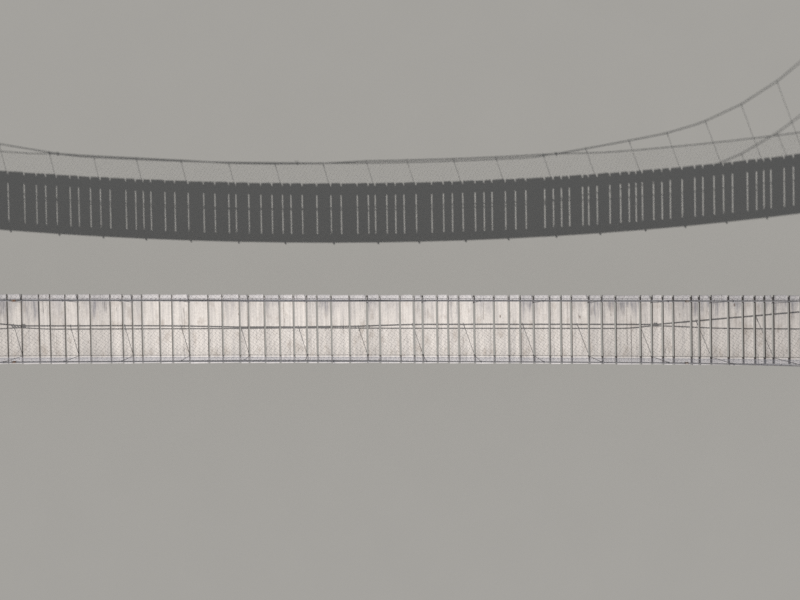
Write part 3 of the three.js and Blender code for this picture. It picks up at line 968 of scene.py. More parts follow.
@dataclass(frozen=True)
class BayPlan:
    """Room that each board takes along the bridge, in millimetres, bay by bay."""

    bays: tuple[tuple[int, ...], ...] = (
        (285, 180, 250, 210), (205, 335, 205, 165), (160, 300, 210, 285), (330, 240, 295, 155),
        (275, 260, 240, 225), (180, 245, 315, 305), (220, 350, 240, 150), (250, 190, 185, 265),
        (340, 255, 195, 230), (270, 195, 175, 295), (220, 230, 415, 190),
        (180, 175, 295, 130, 190), (285, 235, 190, 155, 140))
    order: tuple[tuple[int, ...], ...] = (
        (3, 4, 5), (6, 9, 8), (0, 1, 2), (3, 4, 5), (6, 7, 8), (9, 10, 11), (12, 7, 0), (1, 2, 3))
    west_end: tuple[int, ...] = (340, 320)
    east_end: tuple[int, ...] = (240, 260)
    hanger_reach: float = 11.5

    def sections(self, line: DeckLine) -> list[Section]:
        """Lays the bays out from the west end.

        Args:
            line: The deck's line.

        Returns:
            The deck sections.
        """
        start, count, laid = -line.end, 0, []
        for index, places in enumerate(self.order):
            bays = [self.bays[place] for place in places]
            if index == 0:
                bays.insert(0, self.west_end)
            if index == len(self.order) - 1:
                bays.append(self.east_end)
            section = Section(index + 1, lines=[start])
            for bay in bays:
                for room in bay:
                    section.boards.append(Board(start, room / 1000, count))
                    start += room / 1000
                    count += 1
                section.lines.append(start)
            laid.append(section)
        return laid

    def lines(self, line: DeckLine) -> list[float]:
        """All the bay lines between the two ends of the deck."""
        return [x for section in self.sections(line) for x in section.lines[:-1]][1:]

    def hanger_lines(self, line: DeckLine) -> list[float]:
        """The bay lines at which hangers stand."""
        return [x for x in self.lines(line) if abs(x) < self.hanger_reach]


# Deck


@dataclass(frozen=True)
class Crack:
    """An open crack along a board: its place across, where it runs, and its width."""

    across: float
    start: float
    end: float
    width: float = 0.005


@dataclass(frozen=True)
class Shading:
    """How the boards darken along the bridge."""

    start: float
    reach: float
    depth: float

    def at(self, x: float) -> float:
        """How much darker a board at x is for it."""
        return self.depth * clamped((x - self.start) / self.reach)


@dataclass
class BoardDeck:
    """Uneven boards on two edge stringers, with the nails that hold them."""

    line: DeckLine
    plan: BayPlan
    length: float = 1.184
    thickness: float = 0.04
    skew: float = 0.018
    skew_variation: float = 0.003
    end_variation: float = 0.004
    gap_at_midspan: float = 0.031
    gap_growth: float = 0.0012
    gap_least: float = 0.022
    gap_most: float = 0.04
    parts_along: int = 14
    strip: float = 0.08
    worn_edge: float = 0.0035
    cup_range: Point2 = (-0.0016, 0.0012)
    twist: float = 0.002
    crack_wander: float = 0.006
    crack_depth: float = 0.45
    edge_wander: float = 0.0022
    end_wander: float = 0.0025
    tone: float = 1.01
    tone_variation: float = 0.025
    stain_shade: float = 0.07
    shadings: tuple[Shading, ...] = (Shading(-3.2, -2.6, 0.16), Shading(1.5, 5.5, 0.22))
    stringer_inner: float = 0.465
    stringer_outer: float = 0.56
    stringer_depth: float = 0.1
    stringer_edge: float = 0.004
    housing: float = 0.004
    joint_gap: float = 0.0004
    nail_line: float = 0.512
    nail_radius: float = 0.0045
    nail_head: float = 0.003
    nail_rise: float = 0.0006
    nail_spread: float = 0.9
    nail_wander: float = 0.012
    narrow_board: float = 0.2
    board_seed: int = 4100
    nail_seed: int = 9000
    seen: dict[Weather, tuple[int, ...]] = field(default_factory=lambda: {
        Weather.STAINED: (24, 26, 31, 43, 47, 50, 61, 66, 67, 68, 72, 73, 74, 75, 76, 80),
        Weather.MIXED: (28, 33, 34, 40, 46, 49, 51, 53, 56, 65, 69, 71, 77, 78),
        Weather.CLEAN: (29, 32, 35, 36, 37, 38, 39, 42, 44, 45, 52, 55, 57, 59, 60, 63, 70),
    })
    cracked: dict[int, tuple[Crack, ...]] = field(default_factory=lambda: {
        68: (Crack(-0.015, -0.20, 0.47, 0.006), Crack(0.055, -0.587, 0.23, 0.008)),
        44: (Crack(-0.052, 0.05, 0.587, 0.007),),
        46: (Crack(0.018, 0.30, 0.587, 0.004),),
        58: (Crack(-0.01, 0.22, 0.587, 0.004),),
        64: (Crack(0.03, 0.08, 0.5, 0.004),),
    })

    def gap(self, x: float) -> float:
        """Width of the gap beside a board at x."""
        return clamped(self.gap_at_midspan + self.gap_growth * x, self.gap_least, self.gap_most)

    def weather(self, board: Board, draw: random.Random) -> Weather:
        """Says how stained a board is."""
        for weather, boards in self.seen.items():
            if board.count in boards:
                return weather
        return draw.choice([Weather.MIXED, Weather.MIXED, Weather.STAINED, Weather.CLEAN])

    def board_shape(self, board: Board, width: float, draw: random.Random) -> Shape:
        """Makes one board in its own coordinates, its length along Y.

        Args:
            board: The board.
            width: Its width.
            draw: Source of its small unevenness.

        Returns:
            The shape.
        """
        half = width / 2
        cracks = self.cracked.get(board.count, ())
        shape = Shape.block(width, self.length, self.thickness)
        shape.divide(1, self.length, self.parts_along)
        shape.divide(0, width, max(2, round(width / self.strip)))
        for crack in cracks:
            shape.cut(0, [crack.across + crack.width * share for share in (-0.5, 0, 0.5)])
        shape.bevel(self.worn_edge, 2)
        cup = draw.uniform(*self.cup_range)
        twist = draw.uniform(-self.twist, self.twist)
        seed = draw.uniform(0, 50)

        def wander(along: float, row: float) -> float:
            """A smooth unevenness between -1 and 1, the board's own."""
            return noise.noise(Vector((along, seed, row)))

        def weathered(place: Vector) -> Vector:
            """Moves a point of the plain board to where age has brought it."""
            u, v = place.y / (self.length / 2), place.x / half
            aged = place.copy()
            for crack in cracks:
                if abs(place.x - crack.across) < crack.width * 0.51:
                    aged.x += self.crack_wander * wander(place.y * 4, 3.1)
                    inside = crack.start < place.y < crack.end
                    if inside and place.z > 0 and abs(place.x - crack.across) < NEAR:
                        aged.z -= self.thickness * self.crack_depth
            aged.x += v * self.edge_wander * wander(place.y * 3.2, math.copysign(2, v))
            aged.y += u * self.end_wander * wander(place.x * 14, math.copysign(5, u))
            aged.z += cup * (v * v - 0.4) + twist * u * v
            return aged

        return shape.bend(weathered)

    def build_boards(self, section: Section, finish: Material) -> None:
        """Lays the boards of one section."""
        piece = Piece(f"deck_boards_{section.number}", Slot.BOARDS, finish)
        for board in section.boards:
            draw = random.Random(self.board_seed + board.count)
            width = board.room - self.gap(board.middle)
            weather = self.weather(board, draw)
            shade = sum(shading.at(board.middle) for shading in self.shadings)
            shade += self.stain_shade * weather.value
            tone = self.tone - shade + draw.uniform(-self.tone_variation, self.tone_variation)
            turn = Matrix.Rotation(self.skew + self.skew_variation * board.unevenness(), 4, "Z")
            where = self.line.stand(board.middle, self.end_variation * board.unevenness(2),
                                    -self.thickness / 2) @ turn
            piece.gather(self.board_shape(board, width, draw), where, seed=draw.random() * 9,
                         tone=tone, stain=weather.value, half=width / 2)
        piece.complete(f"deck_section_{section.number}")

    def build_stringers(self, section: Section, finish: Material) -> None:
        """Lays the two stringers of one section."""
        piece = Piece(f"stringers_{section.number}", Slot.BOARDS, finish)
        start, end = section.lines[0] + self.joint_gap, section.lines[-1] - self.joint_gap
        middle = (start + end) / 2
        width = self.stringer_outer - self.stringer_inner
        height = self.stringer_depth + self.housing
        level = -self.thickness + self.housing - height / 2
        for side in Side:
            line_y = side.value * (self.stringer_inner + self.stringer_outer) / 2
            shape = Shape.block(width, end - start, height).bevel(self.stringer_edge, 2)
            shape.cut(1, [place - middle for place in section.lines[1:-1]]).keep_places()

            def along_deck(place: Vector) -> Vector:
                """Bends the straight stringer to the deck's line."""
                return self.line.point(middle + place.y, line_y - place.x, level + place.z)

            piece.gather(shape.bend(along_deck), seed=section.number + side.value * 0.4)
        piece.complete(f"deck_section_{section.number}")

    def build_nails(self, sections: Sequence[Section], finish: Material) -> None:
        """Drives the nails along both stringers."""
        piece = Piece("deck_nails", Slot.STEEL, finish)
        for board in [board for section in sections for board in section.boards]:
            draw = random.Random(self.nail_seed + board.count)
            width = board.room - self.gap(board.middle)
            count = 2 if width < self.narrow_board else 3
            for side in Side:
                skewed = board.middle - self.skew * side.value * 0.5
                for i in range(count):
                    share = (i + 0.5) / count - 0.5
                    x = skewed + share * width * self.nail_spread
                    wander = draw.uniform(-self.nail_wander, self.nail_wander)
                    head = Shape.bar(self.nail_radius, self.nail_head, 6)
                    y = side.value * self.nail_line + wander
                    piece.gather(head, self.line.stand(x, y, self.nail_rise))
        piece.complete()

    def build(self, finishes: Finishes) -> None:
        """Builds the whole deck."""
        sections = self.plan.sections(self.line)
        for section in sections:
            self.build_boards(section, finishes.boards)
            self.build_stringers(section, finishes.stringers)
        self.build_nails(sections, finishes.steel)


# Netting


@dataclass(frozen=True)
class DrawnUp:
    """A place where the rope along the netting is drawn up to the main cable."""

    place: float
    lift: float
    reach_west: float
    reach_east: float

    def lift_at(self, x: float) -> float:
        """How much higher the rope runs at x for it."""
        reach = self.reach_west if x < self.place else self.reach_east
        return self.lift * math.exp(-(((x - self.place) / reach) ** 2))


@dataclass
class Netting:
    """Woven wire netting along both sides, with its top rope, foot wire and ties."""

    line: DeckLine
    line_place: float = 0.484
    foot: float = 0.03
    top: float = 0.52
    lean: float = 0.04
    steps: int = 12
    wire_radius: float = 0.0014
    panel_ends: tuple[float, ...] = (-12.2, -4.7, 4.035, 12.2)
    panel_gap: float = 0.008
    rope_radius: float = 0.0078
    rope_rise: float = 0.5238
    foot_wire_radius: float = 0.0026
    foot_wire_rise: float = 0.037
    foot_wire_out: float = 0.004
    knuckle: float = 0.036
    knuckle_turns: int = 2
    knuckle_steps: int = 14
    rope_lay: float = 0.12
    end_gap: float = 0.004
    edge_steps: int = 196
    tie_radius: float = 0.0011
    tie_turns: int = 3
    tie_pitch: float = 0.004
    tie_wander: float = 0.03
    drawn_up: tuple[DrawnUp, ...] = (
        DrawnUp(5.38, 0.044, 0.3, 0.8), DrawnUp(-5.48, 0.026, 0.35, 0.3),
        DrawnUp(-0.6, 0.009, 1.1, 1.1))

    @property
    def pitch(self) -> float:
        """Half a diamond, along and up."""
        return (self.top - self.foot) / self.steps

    def point(self, x: float, side: Side, rise: float, out: float = 0.0) -> Vector:
        """Finds a point of the leaning netting.

        Args:
            x: Place along the bridge.
            side: The side it stands on.
            rise: Height on the netting from the boards' top.
            out: Distance outwards from the netting's middle.

        Returns:
            The point.
        """
        across = side.value * (self.line_place + self.lean * rise + out)
        lift = sum(place.lift_at(x) for place in self.drawn_up)
        return self.line.point(x, across, rise + lift * max(rise / self.top, 0.0) ** 3)

    def weave_grid(self, number: int) -> tuple[float, float, int]:
        """Finds the grid that the wires of one panel follow.

        Args:
            number: The panel's number, from 1.

        Returns:
            Where the panel starts, half a diamond's length, and the number of wires.
        """
        start = self.panel_ends[number - 1] + self.panel_gap / 2
        end = self.panel_ends[number] - self.panel_gap / 2
        count = int((end - start) / self.pitch)
        return start, (end - start) / count, count

    def build_panel(self, side: Side, number: int, finish: Material) -> None:
        """Weaves one panel of zigzag wires that hook into each other."""
        start, pitch_along, count = self.weave_grid(number)
        weave = WireWork(self.wire_radius)
        for wire in range(count):
            path = []
            for step in range(self.steps + 1):
                right = (step + wire) % 2
                out = self.wire_radius * (0.8 if right else -0.8)
                x = start + (wire + right) * pitch_along
                path.append(self.point(x, side, self.foot + step * self.pitch, out))
            weave.add(path)
        dress(f"netting_wires_{side.label}_{number}", weave.mesh(), Slot.WIRE, finish,
              [f"netting_{side.label}_{number}"])

    def build_knuckles(self, side: Side, finish: Material) -> None:
        """Twists the netting's ends round the foot wire, below each diamond."""
        reach = self.foot_wire_radius + self.wire_radius
        work = WireWork(self.wire_radius)
        turn = math.pi * self.knuckle_turns
        coil = arc(reach, -turn, turn, self.knuckle_steps)
        for number in range(1, len(self.panel_ends)):
            start, pitch_along, count = self.weave_grid(number)
            for corner in range(2, count - 1, 2):
                middle = start + corner * pitch_along
                work.add([self.point(middle + self.knuckle * (step / self.knuckle_steps - 0.5),
                                     side, self.foot_wire_rise + up, self.foot_wire_out + out)
                          for step, (out, up) in enumerate(coil)])
        dress(f"netting_knuckles_{side.label}", work.mesh(), Slot.WIRE, finish)

    def build_edges(self, side: Side, finish: Material) -> None:
        """Runs the top rope and the foot wire, and ties the netting to them."""
        start, end = self.panel_ends[0] + self.end_gap, self.panel_ends[-1] - self.end_gap
        places = [start + (end - start) * i / self.edge_steps for i in range(self.edge_steps + 1)]
        rope = TwistedRope(self.rope_radius, lay=self.rope_lay)
        top = rope.mesh([self.point(x, side, self.rope_rise) for x in places])
        dress(f"top_rope_{side.label}", top, Slot.WIRE, finish)
        foot = WireWork(self.foot_wire_radius, 1)
        foot.add([self.point(x, side, self.foot_wire_rise, self.foot_wire_out) for x in places])
        ties = WireWork(self.tie_radius)
        for i, x in enumerate(places[1:-1:2]):
            along = self.line.point(x + 0.01, 0) - self.line.point(x, 0)
            for turn in range(self.tie_turns):
                at = x + self.tie_pitch * (turn - 1) + self.tie_wander * ((i * 5) % 3)
                ties.add_ring(self.point(at, side, self.rope_rise), self.rope_radius + 0.001,
                              along)
        dress(f"foot_wire_{side.label}", foot.mesh(), Slot.WIRE, finish)
        dress(f"wire_ties_{side.label}", ties.mesh(), Slot.WIRE, finish)

    def build(self, finishes: Finishes) -> None:
        """Builds the netting of both sides."""
        for side in Side:
            for number in range(1, len(self.panel_ends)):
                self.build_panel(side, number, finishes.netting)
            self.build_knuckles(side, finishes.netting)
            self.build_edges(side, finishes.edge_rope)


# Cables


@dataclass(frozen=True)
class Bolt:
    """A hexagonal bolt head on a round washer, or the nut and stud end at its far side."""

    width: float = 0.03
    height: float = 0.013
    washer: float = 0.027
    stud: float = 0.0
    washer_thickness: float = 0.004

    def add_to(self, piece: Piece, seat: Vector, outwards: Vector, seed: float = 0.0) -> None:
        """Adds the bolt.

        Args:
            piece: The piece that it belongs to.
            seat: The middle of the surface under its washer.
            outwards: The direction that it stands out in.
            seed: Turns its head.
        """
        where = facing(seat, outwards)
        washer = Shape.bar(self.washer, self.washer_thickness, 20).bevel(0.0008, 1)
        piece.gather(washer, where @ moved(z=self.washer_thickness / 2), seed=seed)
        head = Shape.bar(self.width / math.sqrt(3), self.height, 6).bevel(0.0012, 1)
        turned = Matrix.Rotation(seed * 2.7, 4, "Z")
        middle = self.washer_thickness + self.height / 2
        piece.gather(head, where @ turned @ moved(z=middle), seed=seed)
        if self.stud:
            end = Shape.bar(self.width * 0.3, self.stud, 12).bevel(0.001, 1)
            middle = self.washer_thickness + self.height + self.stud / 2 - 0.001
            piece.gather(end, where @ moved(z=middle), seed=seed)

    def add_at_corners(self, piece: Piece, centre: Vector, reach: Point2, turn: float) -> None:
        """Adds four bolts that stand up at the corners of a plate.

        Args:
            piece: The piece that they belong to.
            centre: The middle of the plate's top.
            reach: How far they stand from it along X and Y.
            turn: Turns their heads.
        """
        for dx in (-reach[0], reach[0]):
            for dy in (-reach[1], reach[1]):
                self.add_to(piece, centre + Vector((dx, dy, 0)), UP, dx * turn + dy)


@dataclass(frozen=True)
class CableEnds:
    """Where the cables pass the towers and end in the anchors."""

    tower: float = 12.0
    saddle_arc: float = 0.1176
    saddle_line: float = 0.598
    saddle_centre: float = 5.422
    meeting_angle: float = math.radians(35)
    pin_place: float = 16.15
    pin_height: float = 0.83
    arc_steps: int = 20

    def leaving_angle(self, centre: Vector, radius: float) -> float:
        """Angle from the vertical at which a line to the east pin leaves a circle."""
        dx, dz = self.pin_place - centre.x, self.pin_height - centre.z
        return math.atan2(dx, dz) - math.acos(radius / math.hypot(dx, dz))

    def round_turn(self, centre: Vector, radius: float, start: float, end: float) -> list[Vector]:
        """Points on an upright arc, between two angles measured from the vertical."""
        return [centre + Vector((x, 0, z)) for z, x in arc(radius, start, end, self.arc_steps)]

    def pin(self, y: float) -> Vector:
        """The middle of the anchor pin at the east end."""
        return Vector((self.pin_place, y, self.pin_height))

    def whole_path(self, span: Sequence[Vector], east: Sequence[Vector]) -> list[Vector]:
        """Joins a span with its east end, and with the same end mirrored at the west."""
        west = [Vector((-point.x, point.y, point.z)) for point in reversed(east)]
        return [*west, *span, *east]


@dataclass(frozen=True)
class ForkedSocket:
    """The forked socket at a cable's end, with its pin, pin plate and split pin."""

    cable_radius: float
    cheek: float = 0.034
    heel: float = 0.092
    throat: float = 0.058
    shoulder: float = 0.0012
    cheek_inner: float = 0.009
    cheek_outer: float = 0.019
    cone_start: float = 0.082
    cone_end: float = 0.21
    cone_wall: float = 0.006
    lip: float = 0.0015
    pin_radius: float = 0.014
    pin_out: float = 0.006
    washer_radius: float = 0.021
    washer: float = 0.004

    def add_to(self, piece: Piece, pin: Vector, towards: Vector) -> None:
        """Adds the socket.

        Args:
            piece: The piece that it belongs to.
            pin: The middle of the pin.
            towards: The next point of the cable.
        """
        run = towards - pin
        where = moved(*pin) @ Matrix.Rotation(math.atan2(-run.z, run.x), 4, "Y")
        outline = [*arc(self.cheek, math.pi / 2, math.pi * 3 / 2, 12),
                   (self.heel, -self.cheek), (self.heel, self.cheek)]
        for sign in (1, -1):
            cheek = Shape.plate(outline, self.cheek_outer - self.cheek_inner).bevel(0.002, 2)
            middle = sign * (self.cheek_inner + self.cheek_outer) / 2
            piece.gather(cheek.place(moved(y=middle)), where)
            washer = Shape.bar(self.washer_radius, self.washer, 24).bevel(0.0008, 1)
            seat = sign * (self.cheek_outer + self.washer / 2)
            piece.gather(washer.place(moved(y=seat) @ ALONG_Y), where)
        shoulder = self.shoulder
        yoke = Shape.block(self.heel - self.throat + shoulder, 2 * (self.cheek_outer + shoulder),
                           2 * (self.cheek + shoulder)).bevel(0.004, 3)
        yoke.place(moved((self.heel + self.throat + shoulder) / 2))
        piece.gather(yoke, where)
        wide, end = self.cheek_outer + self.cone_wall, self.cable_radius + 0.003
        length, lip = self.cone_end - self.cone_start, end + self.lip
        cone = Shape.turned([(0, 0), (wide, 0), (wide, 0.018), (wide - 0.002, 0.022),
                             (lip, length - 0.02), (lip, length - 0.006), (end, length),
                             (0, length)], 28)
        piece.gather(cone.place(moved(self.cone_start) @ ALONG_X), where)
        reach, radius, edge = self.cheek_outer + self.pin_out, self.pin_radius, 0.001
        bar = Shape.turned([(0, -reach), (radius - edge, -reach), (radius, edge - reach),
                            (radius, reach - edge), (radius - edge, reach), (0, reach)], 24)
        piece.gather(bar.place(ALONG_Y), where)


@dataclass(frozen=True)
class Cable:
    """A twisted rope from pin to pin, with a forked socket at each end."""

    kind: str
    radius: float
    hidden: float = 0.15

    def build(self, side: Side, path: Sequence[Vector], finishes: Finishes) -> None:
        """Lays the rope, and fits its sockets.

        Args:
            side: Its side.
            path: Corners of its way from pin to pin.
            finishes: The bridge's materials.
        """
        node = f"{self.kind}_cable_{side.label}"
        ends = ((path[0], path[1]), (path[-1], path[-2]))
        first, last = [pin.lerp(next_to, self.hidden / (next_to - pin).length)
                       for pin, next_to in ends]
        rope = TwistedRope(self.radius).mesh([first, *path[1:-1], last])
        dress(f"{self.kind}_rope_{side.label}", rope, Slot.ROPE, finishes.rope, [node])
        sockets = Piece(f"{self.kind}_sockets_{side.label}", Slot.STEEL, finishes.steel)
        for pin, next_to in ends:
            ForkedSocket(self.radius).add_to(sockets, pin, next_to)
        sockets.complete(node)


@dataclass(frozen=True)
class Hanger:
    """A thin rod looped over the main cable, with its collar and the nut at its foot."""

    cable_radius: float
    radius: float = 0.0048
    foot: float = 0.045
    neck: float = 0.045
    straight: float = 0.09
    tail: float = 0.085
    collar: tuple[float, float, float] = (0.026, 0.016, 0.014)
    collar_drop: float = 0.058
    nut_radius: float = 0.0105
    nut_height: float = 0.012
    nut_drop: float = 0.03
    loop_steps: int = 8

    def add_to(self, rods: WireWork, collars: Piece, ends: tuple[Vector, Vector], side: Side,
               seed: float) -> None:
        """Adds the hanger.

        Args:
            rods: The wires that its rod joins.
            collars: The piece of all collars and nuts.
            ends: Its top, in the middle of the cable, and its place in the deck's gap.
            side: Its side.
            seed: Makes the finish of its collar its own.
        """
        top, in_gap = ends
        down = (in_gap - top).normalized()
        across = Vector((0, side.value, 0))
        across = (across - down * across.dot(down)).normalized()
        over = [top - across * out - down * low for out, low in
                arc(self.cable_radius + self.radius, 0, math.pi, self.loop_steps)]
        neck, beside = top + down * self.neck, across * self.radius
        rods.add([in_gap + down * self.foot, top + down * self.straight, neck - beside * 1.1,
                  *over, neck + beside * 1.1, top + down * self.tail + beside * 2.1])
        collar = Shape.block(*self.collar).bevel(0.004, 2)
        turn = Matrix((across, across.cross(down), down)).transposed().to_4x4()
        place = top + down * self.collar_drop + beside
        collars.gather(collar, moved(*place) @ turn, seed=seed)
        nut = Shape.bar(self.nut_radius, self.nut_height, 6).bevel(0.001, 1)
        collars.gather(nut, facing(in_gap + down * self.nut_drop, down), seed=seed)


@dataclass
class Stirrup:
    """The bent flat bar that carries a stringer and the deck cable, with its cross bolt."""

    deck: BoardDeck
    bar: float = 0.007
    width: float = 0.03
    top: float = -0.052
    cable_radius: float = 0.012
    bend: float = 0.009
    bolt_level: float = 0.55

    def add_to(self, piece: Piece, fittings: Piece, x: float, side: Side) -> None:
        """Adds the stirrup and its bolt.

        Args:
            piece: The piece of all stirrups.
            fittings: The piece of all their bolts.
            x: Its place along the bridge.
            side: Its side.
        """
        deck, bar, top = self.deck, self.bar, self.top
        inner, outer = deck.stringer_inner - deck.joint_gap, deck.stringer_outer + deck.joint_gap
        below = -(deck.thickness + deck.stringer_depth + 2 * deck.joint_gap
                  + 2 * self.cable_radius)
        shape = Shape.plate([
            (inner - bar, top), (inner - bar, below - bar), (outer + bar, below - bar),
            (outer + bar, top), (outer, top), (outer, below), (inner, below), (inner, top)],
            self.width)

        def at_bend(edge: bmesh.types.BMEdge) -> bool:
            """Whether an edge runs across the bar at one of its two outer bends."""
            first, second = (vertex.co for vertex in edge.verts)
            low = first.z < below - bar / 2 and second.z < below - bar / 2
            return low and abs(first.x - second.x) < SAME_PLACE

        shape.bevel(self.bend, 5, at_bend).bevel(0.0008, 1)
        where = deck.line.stand(x) @ Matrix.Rotation(math.radians(90 * side.value), 4, "Z")
        piece.gather(shape, where, seed=x)
        level = -(deck.thickness + deck.stringer_depth * self.bolt_level)
        for place, outwards, stud in ((outer + bar, 1, 0.0), (inner - bar, -1, 0.006)):
            seat = deck.line.point(x, side.value * place, level)
            bolt = Bolt(0.019, 0.008, 0.0135, stud)
            bolt.add_to(fittings, seat, Vector((0, side.value * outwards, 0)), x)


@dataclass(frozen=True)
class Slack:
    """A stretch in which the main cables hang low."""

    depth: float
    place: float
    reach: float

    def at(self, x: float) -> float:
        """How much lower the cable hangs at x for it."""
        return self.depth * math.exp(-(((x - self.place) / self.reach) ** 4))


@dataclass
class MainCables:
    """The two main ropes with their hangers, stirrups, clips and end sockets."""

    deck: BoardDeck
    ends: CableEnds
    netting: Netting
    radius: float = 0.0095
    middle_rise: float = 0.582
    slacks: tuple[Slack, ...] = (Slack(0.053, -0.95, 1.65), Slack(0.015, -3.9, 1.9))
    inward_drift: float = 0.1
    clip_place: float = 5.38
    clip: tuple[float, float, float] = (0.06, 0.034, 0.036)
    clip_bolts: Point2 = (0.016, 0.014)
    clip_bolt_size: Point2 = (0.0045, 0.04)
    rising_slope: float = 0.094
    steep_start: float = 7.7
    steep_places: tuple[float, ...] = (8.6, 9.8, 10.8, 11.5)
    lean: float = 0.0636
    top_shift: float = 0.044
    hanger_line: float = 0.457
    netting_height: float = 0.532
    lashing_wire: float = 0.0014
    lashing_start: float = -1.7
    lashing_spacing: float = 0.24
    lashings: int = 10
    lashing_wander: float = 0.03
    lashing_pitch: float = 0.004
    lashing_slack: Point2 = (0.0002, 0.0012)
    lashing_seed: int = 300
    tie_down: float = 0.03
    tie_down_spacing: float = 0.045
    tie_downs: int = 5
    knot_place: float = -0.3
    knot_ends: int = 5

    def lowness(self, x: float) -> float:
        """How much lower than its taut line the cable hangs at x."""
        return sum(slack.at(x) for slack in self.slacks)

    def gentle_rise(self, x: float) -> float:
        """Height above the boards, before the steep ends."""
        rising = self.rising_slope * max(0.0, abs(x) - self.clip_place)
        return self.middle_rise - self.lowness(x) + rising

    def rise(self, x: float) -> float:
        """Height of the cable above the boards at x, between the saddles."""
        ends = self.ends
        meet_x = ends.tower - ends.saddle_arc * math.sin(ends.meeting_angle)
        meet_z = ends.saddle_centre + ends.saddle_arc * math.cos(ends.meeting_angle)
        left = meet_z - self.deck.line.height(meet_x) - self.gentle_rise(meet_x)
        steepness = left / (meet_x - self.steep_start) ** 2
        return self.gentle_rise(x) + steepness * max(0.0, abs(x) - self.steep_start) ** 2

    def point(self, x: float, side: Side) -> Vector:
        """The middle of a side's cable at x, a little further in where it hangs low."""
        rise = self.rise(x)
        across = self.hanger_line + self.lean * rise - self.inward_drift * self.lowness(x)
        return Vector((x, side.value * across, self.deck.line.height(x) + rise))

    def hanger_foot_place(self, x: float, side: Side) -> float:
        """Where the skewed gap at a bay line crosses a side's hanger line."""
        return x - self.deck.skew * side.value * self.hanger_line

    def hanger_top(self, x: float, side: Side) -> Vector:
        """Where the hanger of a bay line meets the cable."""
        foot = self.hanger_foot_place(x, side)
        lean_back = self.deck.line.slope(foot) * self.netting_height
        return self.point(foot + self.top_shift - lean_back, side)

    def path(self, side: Side, lines: Sequence[float]) -> list[Vector]:
        """Finds the rope's whole path, from pin to pin.

        Args:
            side: Its side.
            lines: The bay lines with hangers.

        Returns:
            Corners of the path.
        """
        ends = self.ends
        y = side.value * ends.saddle_line
        centre = Vector((ends.tower, y, ends.saddle_centre))
        leave = ends.leaving_angle(centre, ends.saddle_arc)
        turn = ends.round_turn(centre, ends.saddle_arc, -ends.meeting_angle, leave)
        free = [self.point(sign * x, side) for sign in (1, -1)
                for x in (self.clip_place, self.steep_start, *self.steep_places)]
        tops = [self.hanger_top(x, side) for x in lines]
        span = sorted([*free, *tops], key=lambda point: point.x)
        return ends.whole_path(span, [*turn, ends.pin(y)])

    def build_hangers(self, side: Side, lines: Sequence[float], finishes: Finishes) -> None:
        """Hangs the rods, each looped over the cable and down again."""
        hanger = Hanger(self.radius)
        rods = WireWork(hanger.radius, 2)
        collars = Piece(f"hanger_collars_{side.label}", Slot.WIRE, finishes.edge_rope)
        for x in lines:
            foot = self.hanger_foot_place(x, side)
            in_gap = self.deck.line.point(foot, side.value * self.hanger_line,
                                          -self.deck.thickness / 2)
            hanger.add_to(rods, collars, (self.hanger_top(x, side), in_gap), side, x)
        dress(f"hangers_{side.label}", rods.mesh(), Slot.ROPE, finishes.edge_rope,
              [f"main_cable_{side.label}"])
        collars.complete()

    def build_clips(self, side: Side, finishes: Finishes) -> None:
        """Fits the clamps where the rising rope is tied down to the netting."""
        clips = Piece(f"cable_clips_{side.label}", Slot.STEEL, finishes.steel)
        out, across = self.clip_bolts
        for end in End:
            x = end.value * self.clip_place
            along = self.deck.line.stand(x).to_quaternion().to_matrix().to_4x4()
            where = moved(*self.point(x, side)) @ along
            clips.gather(Shape.block(*self.clip).bevel(0.007, 3), where, seed=x)
            for place in ((-out, across), (-out, -across), (out, across), (out, -across)):
                bolt = Shape.bar(*self.clip_bolt_size, 10).bevel(0.001, 1)
                clips.gather(bolt, where @ moved(*place), seed=x)
        clips.complete(f"main_cable_{side.label}")

    def loop_round(self, x: float, side: Side, slack: float) -> list[Vector]:
        """Finds the path of one turn of wire round the cable and the netting's top rope.

        Args:
            x: Place along the bridge.
            side: Its side.
            slack: How far it stands off them.

        Returns:
            Corners of the closed loop.
        """
        cable, rope = self.point(x, side), self.netting.point(x, side, self.netting.rope_rise)
        apart = (rope - cable).normalized()
        beside = Vector((1, 0, self.deck.line.slope(x))).normalized().cross(apart)
        loop = []
        for centre, radius, way in ((cable, self.radius, -1), (rope, self.netting.rope_radius, 1)):
            half_turn = arc(radius + self.lashing_wire + slack, -math.pi / 2, math.pi / 2, 4)
            loop += [centre + way * (apart * out + beside * off) for out, off in half_turn]
        return loop

